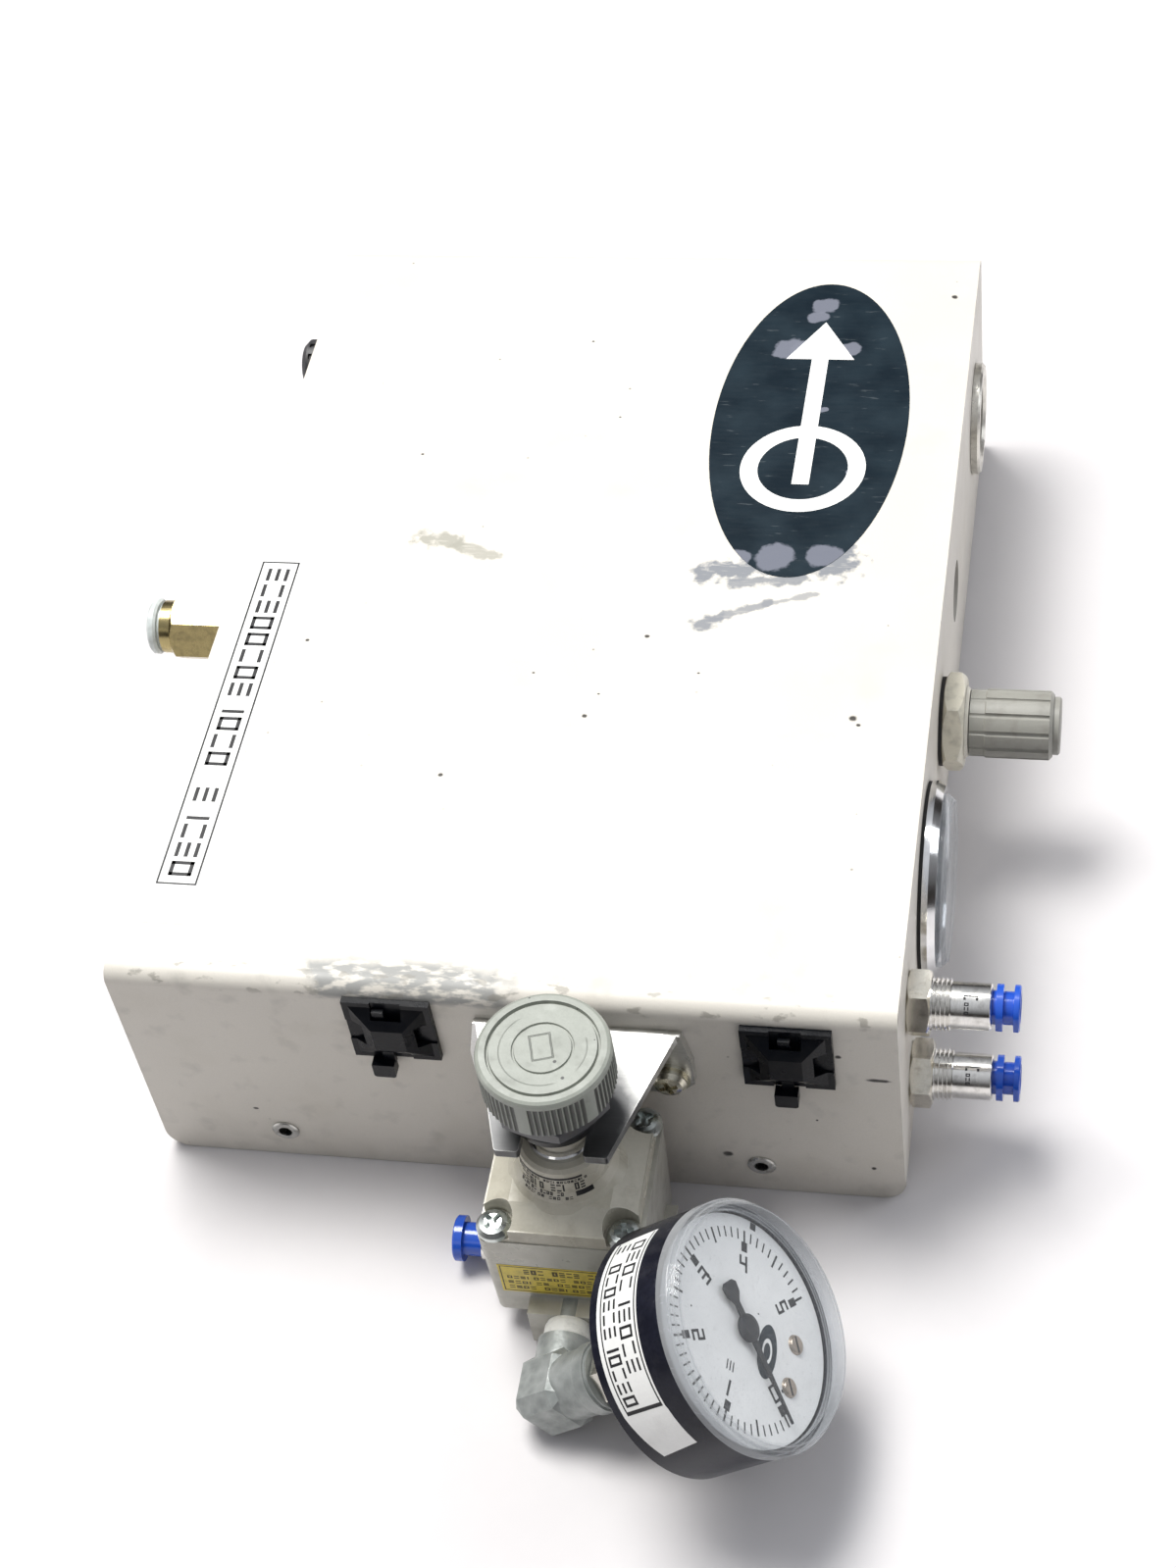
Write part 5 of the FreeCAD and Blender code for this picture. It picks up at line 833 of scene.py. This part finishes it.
def numeral(text, centre, turn, height, width):
    """Stroke numerals for a dial, turned clockwise by `turn` degrees about their centre."""
    wide = height * 0.55
    angle = -math.radians(turn)
    outlines = []
    for position, digit in enumerate(text):
        shift = (position - (len(text) - 1) / 2) * wide * 1.6
        for name in SEGMENTS[digit]:
            ends = []
            for share_u, share_v in STROKES[name]:
                u, v = (share_u - 0.5) * wide + shift, (share_v - 0.5) * height
                ends.append((centre[0] + u * math.cos(angle) - v * math.sin(angle),
                             centre[1] + u * math.sin(angle) + v * math.cos(angle)))
            along = (Vector(ends[1]) - Vector(ends[0])).normalized() * width * 0.4
            outlines.append(bar(Vector(ends[0]) - along, Vector(ends[1]) + along, width))
    return outlines


DIAL_LEVEL = 55.3  # the dial's face along the gauge's axis
ZERO_AT, PER_UNIT = 220.5, 54.8  # clock angle of the zero mark, and degrees for each unit
dial_ink = []
for tick in range(51):
    angle = ZERO_AT + PER_UNIT * tick / 10
    major, half = tick % 10 == 0, tick % 5 == 0
    inner = 19.4 if major else 18.6 if half else 19.7
    weight = 0.50 if major or half else 0.36
    dial_ink.append(bar(clock(angle, inner), clock(angle, 22.0), weight))
    if major:
        dial_ink.append(bar(clock(angle, 17.2), clock(angle, 19.4), 1.7))
for unit in range(6):
    angle = ZERO_AT + PER_UNIT * unit
    dial_ink += numeral(str(unit), clock(angle - 1, 14.5), angle, 3.2, 0.58)
dial_ink.append(bar(clock(84, 23.9), clock(88, 23.9), 1.6))
dial_ink += [bar((-10.6, 1.5 + 0.9 * i), (-10.6 + 2.2, 1.5 + 0.9 * i), 0.3) for i in range(3)]
for side, high, radius in ((6.4, 12.3, 0.5), (-7.6, -13.4, 0.4), (-2.4, 15.6, 0.22),
                           (5.5, -3.5, 0.2)):
    dial_ink.append(ellipse(side, high, radius, radius, 16))
plates("dial_scale", dial_ink, 0.04, gauge_place(DIAL_LEVEL), INK)
plates("dial_oval", [ellipse(-1.4, -7.4, 6.2, 2.9, 48)], 0.04, gauge_place(DIAL_LEVEL), OVAL)
dial_ring = ring_outlines(-1.4, -7.4, (2.0, 1.0), (3.0, 1.5), 24)
plates("dial_oval_ring", dial_ring, 0.02, gauge_place(DIAL_LEVEL + 0.04), DECAL_WHITE)

# White label band round the case: two ruled lines, an end line, boxes, bars and a blank tail.
CASE_RADIUS = 26.8
BAND = 0.06  # thickness of the band


def round_case(u, v, height):
    """u is the clock angle in degrees, v the distance along the gauge's axis."""
    turn = math.radians(u)
    spoke = GAUGE_NOON * math.cos(turn) + GAUGE_THREE * math.sin(turn)
    return GAUGE_AT + spoke * (CASE_RADIUS + height) + GAUGE_OUT * v


band = [(276.5, 40.6), (301, 39.0), (386, 39.2), (388, 44), (389, 50.4), (301, 50.4),
        (299, 50.6), (279, 50.8)]
plates("gauge_band", [band], BAND, round_case, PAPER, fineness=3)
band_print = [box_outline(302, 40.1, 386, 40.45), box_outline(302, 49.6, 388, 49.95),
              box_outline(301.6, 40.1, 303.4, 49.95)]
band_print += glyphs(304.5, 384, 41.0, 44.4, 1.25, 0.55, "oezoiezeozo-e")
band_print += glyphs(318, 384, 45.4, 48.8, 1.25, 0.55, "ezoeizoeo")
plates("gauge_band_print", band_print, 0.02, lambda u, v, h: round_case(u, v, BAND + h), INK,
       fineness=3)

# Panel gauge: scale, numerals and red limit marks on its dial.
PANEL_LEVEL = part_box("panel_gauge_dial")[1].x / MM - PANEL_AT.x
panel_ink = []
for tick in range(31):
    angle = 225 + 9 * tick
    inner, weight = (15.0, 0.5) if tick % 5 == 0 else (16.6, 0.28)
    panel_ink.append(bar(clock(angle, inner), clock(angle, 18.4), weight))
for unit in range(7):
    angle = 225 + 45 * unit
    panel_ink += numeral(str(unit * 10) if unit else "0", clock(angle, 12.2), 0, 2.6, 0.42)
plates("panel_dial_scale", panel_ink, 0.04, panel_place(PANEL_LEVEL), INK)
red_arc = [bar(clock(a, 19.2), clock(a + 9, 19.2), 1.3) for a in range(60, 105, 9)]
plates("panel_dial_red", red_arc, 0.04, panel_place(PANEL_LEVEL), INK_RED)

# Two slotted screws that hold the regulator gauge's dial.
DIAL_SCREWS = ((4.2, -15.4), (-6.0, -15.1))
dial_screws = bmesh.new()
for side, high in DIAL_SCREWS:
    for radius, low, top in ((2.2, 0.0, 0.35), (1.8, 0.35, 0.55)):
        made = bmesh.ops.create_cone(dial_screws, cap_ends=True, segments=28, radius1=radius,
                                     radius2=radius - 0.15, depth=top - low)
        bmesh.ops.translate(dial_screws, verts=made["verts"], vec=(side, high, (low + top) / 2))
place = gauge_place(DIAL_LEVEL + 0.02)
for vertex in dial_screws.verts:
    vertex.co = place(*vertex.co) * MM
mesh = bpy.data.meshes.new("dial_screws")
dial_screws.to_mesh(mesh)
dial_screws.free()
new_piece("dial_screws", mesh, SCREW_BROWN)
slots = [bar((side - 1.5, high - 0.9), (side + 1.5, high + 0.9), 0.5)
         for side, high in DIAL_SCREWS]
plates("dial_screw_slots", slots, 0.03, gauge_place(DIAL_LEVEL + 0.57), INK)


# ---------------------------------------------------------------- stage, light and camera

FLOOR_REACH = 4.0
FLOOR_LEVEL = cad_box[0].z - 0.0002
floor = bpy.data.meshes.new("floor")
corners = ((-1, -1), (1, -1), (1, 1), (-1, 1))
floor.from_pydata([(FLOOR_REACH * x, FLOOR_REACH * y, FLOOR_LEVEL) for x, y in corners], [],
                  [(0, 1, 2, 3)])
ground = bpy.data.objects.new("floor", floor)
bpy.context.scene.collection.objects.link(ground)
floor.materials.append(finish("floor_white", (0.665, 0.645, 0.65), tone=0.01, patch=300, grain=5,
                              grain_depth=0.01, dirt=0, wear=0, roughness=0.6))


def studio_sky():
    """A world that is dark at the horizon and pale overhead."""
    world = bpy.data.worlds.new("studio")
    bpy.context.scene.world = world
    world.use_nodes = True
    sky = world.node_tree
    direction = sky.nodes.new("ShaderNodeTexCoord")
    parts = sky.nodes.new("ShaderNodeSeparateXYZ")
    height = sky.nodes.new("ShaderNodeMapRange")
    shade = sky.nodes.new("ShaderNodeMix")
    shade.data_type = "RGBA"
    horizon, zenith = [socket for socket in shade.inputs if socket.type == "RGBA"]
    horizon.default_value = (0.030, 0.027, 0.026, 1)
    zenith.default_value = (0.62, 0.64, 0.68, 1)
    height.inputs["From Min"].default_value = 0.20
    height.inputs["From Max"].default_value = 0.95
    sky.links.new(direction.outputs["Generated"], parts.inputs[0])
    sky.links.new(parts.outputs["Z"], height.inputs["Value"])
    sky.links.new(height.outputs["Result"], shade.inputs["Factor"])
    result = next(socket for socket in shade.outputs if socket.type == "RGBA")
    sky.links.new(result, sky.nodes["Background"].inputs["Color"])


studio_sky()


def lamp(name, at, toward, size, power, colour=(1, 1, 1)):
    light = bpy.data.lights.new(name, "AREA")
    light.shape = "RECTANGLE"
    light.size, light.size_y = size
    light.energy = power
    light.color = colour
    holder = bpy.data.objects.new(name, light)
    holder.location = at
    holder.rotation_mode = "QUATERNION"
    holder.rotation_quaternion = (Vector(toward) - Vector(at)).to_track_quat("-Z", "Y")
    bpy.context.scene.collection.objects.link(holder)


AIM = (0.02, -0.05, 0.03)
lamp("key", (-0.55, 0.38, 1.9), AIM, (1.0, 0.8), 52, (1.0, 0.99, 0.965))
lamp("rim", (1.1, 0.3, 0.75), (0.05, -0.05, 0.03), (0.5, 1.1), 4.5, (0.93, 0.96, 1.0))
lamp("front", (-0.45, -1.35, 0.85), (0.02, -0.15, 0.03), (0.4, 0.4), 0.5, (1.0, 0.98, 0.95))

# The camera, from the photograph's perspective.
camera = bpy.data.cameras.new("camera")
camera.sensor_width = 36
camera.lens = 63.08
viewer = bpy.data.objects.new("camera", camera)
right = Vector((0.98023, 0.16050, -0.11574))
down = Vector((0.04642, -0.75511, -0.65395))
ahead = Vector((-0.19235, 0.63564, -0.74763))
turned = Matrix((right, -down, -ahead)).transposed().to_4x4()
viewer.matrix_world = Matrix.Translation(Vector((134.45, -470.31, 544.21)) * MM) @ turned
bpy.context.scene.collection.objects.link(viewer)
bpy.context.scene.camera = viewer

bpy.context.scene.view_settings.view_transform = "Standard"
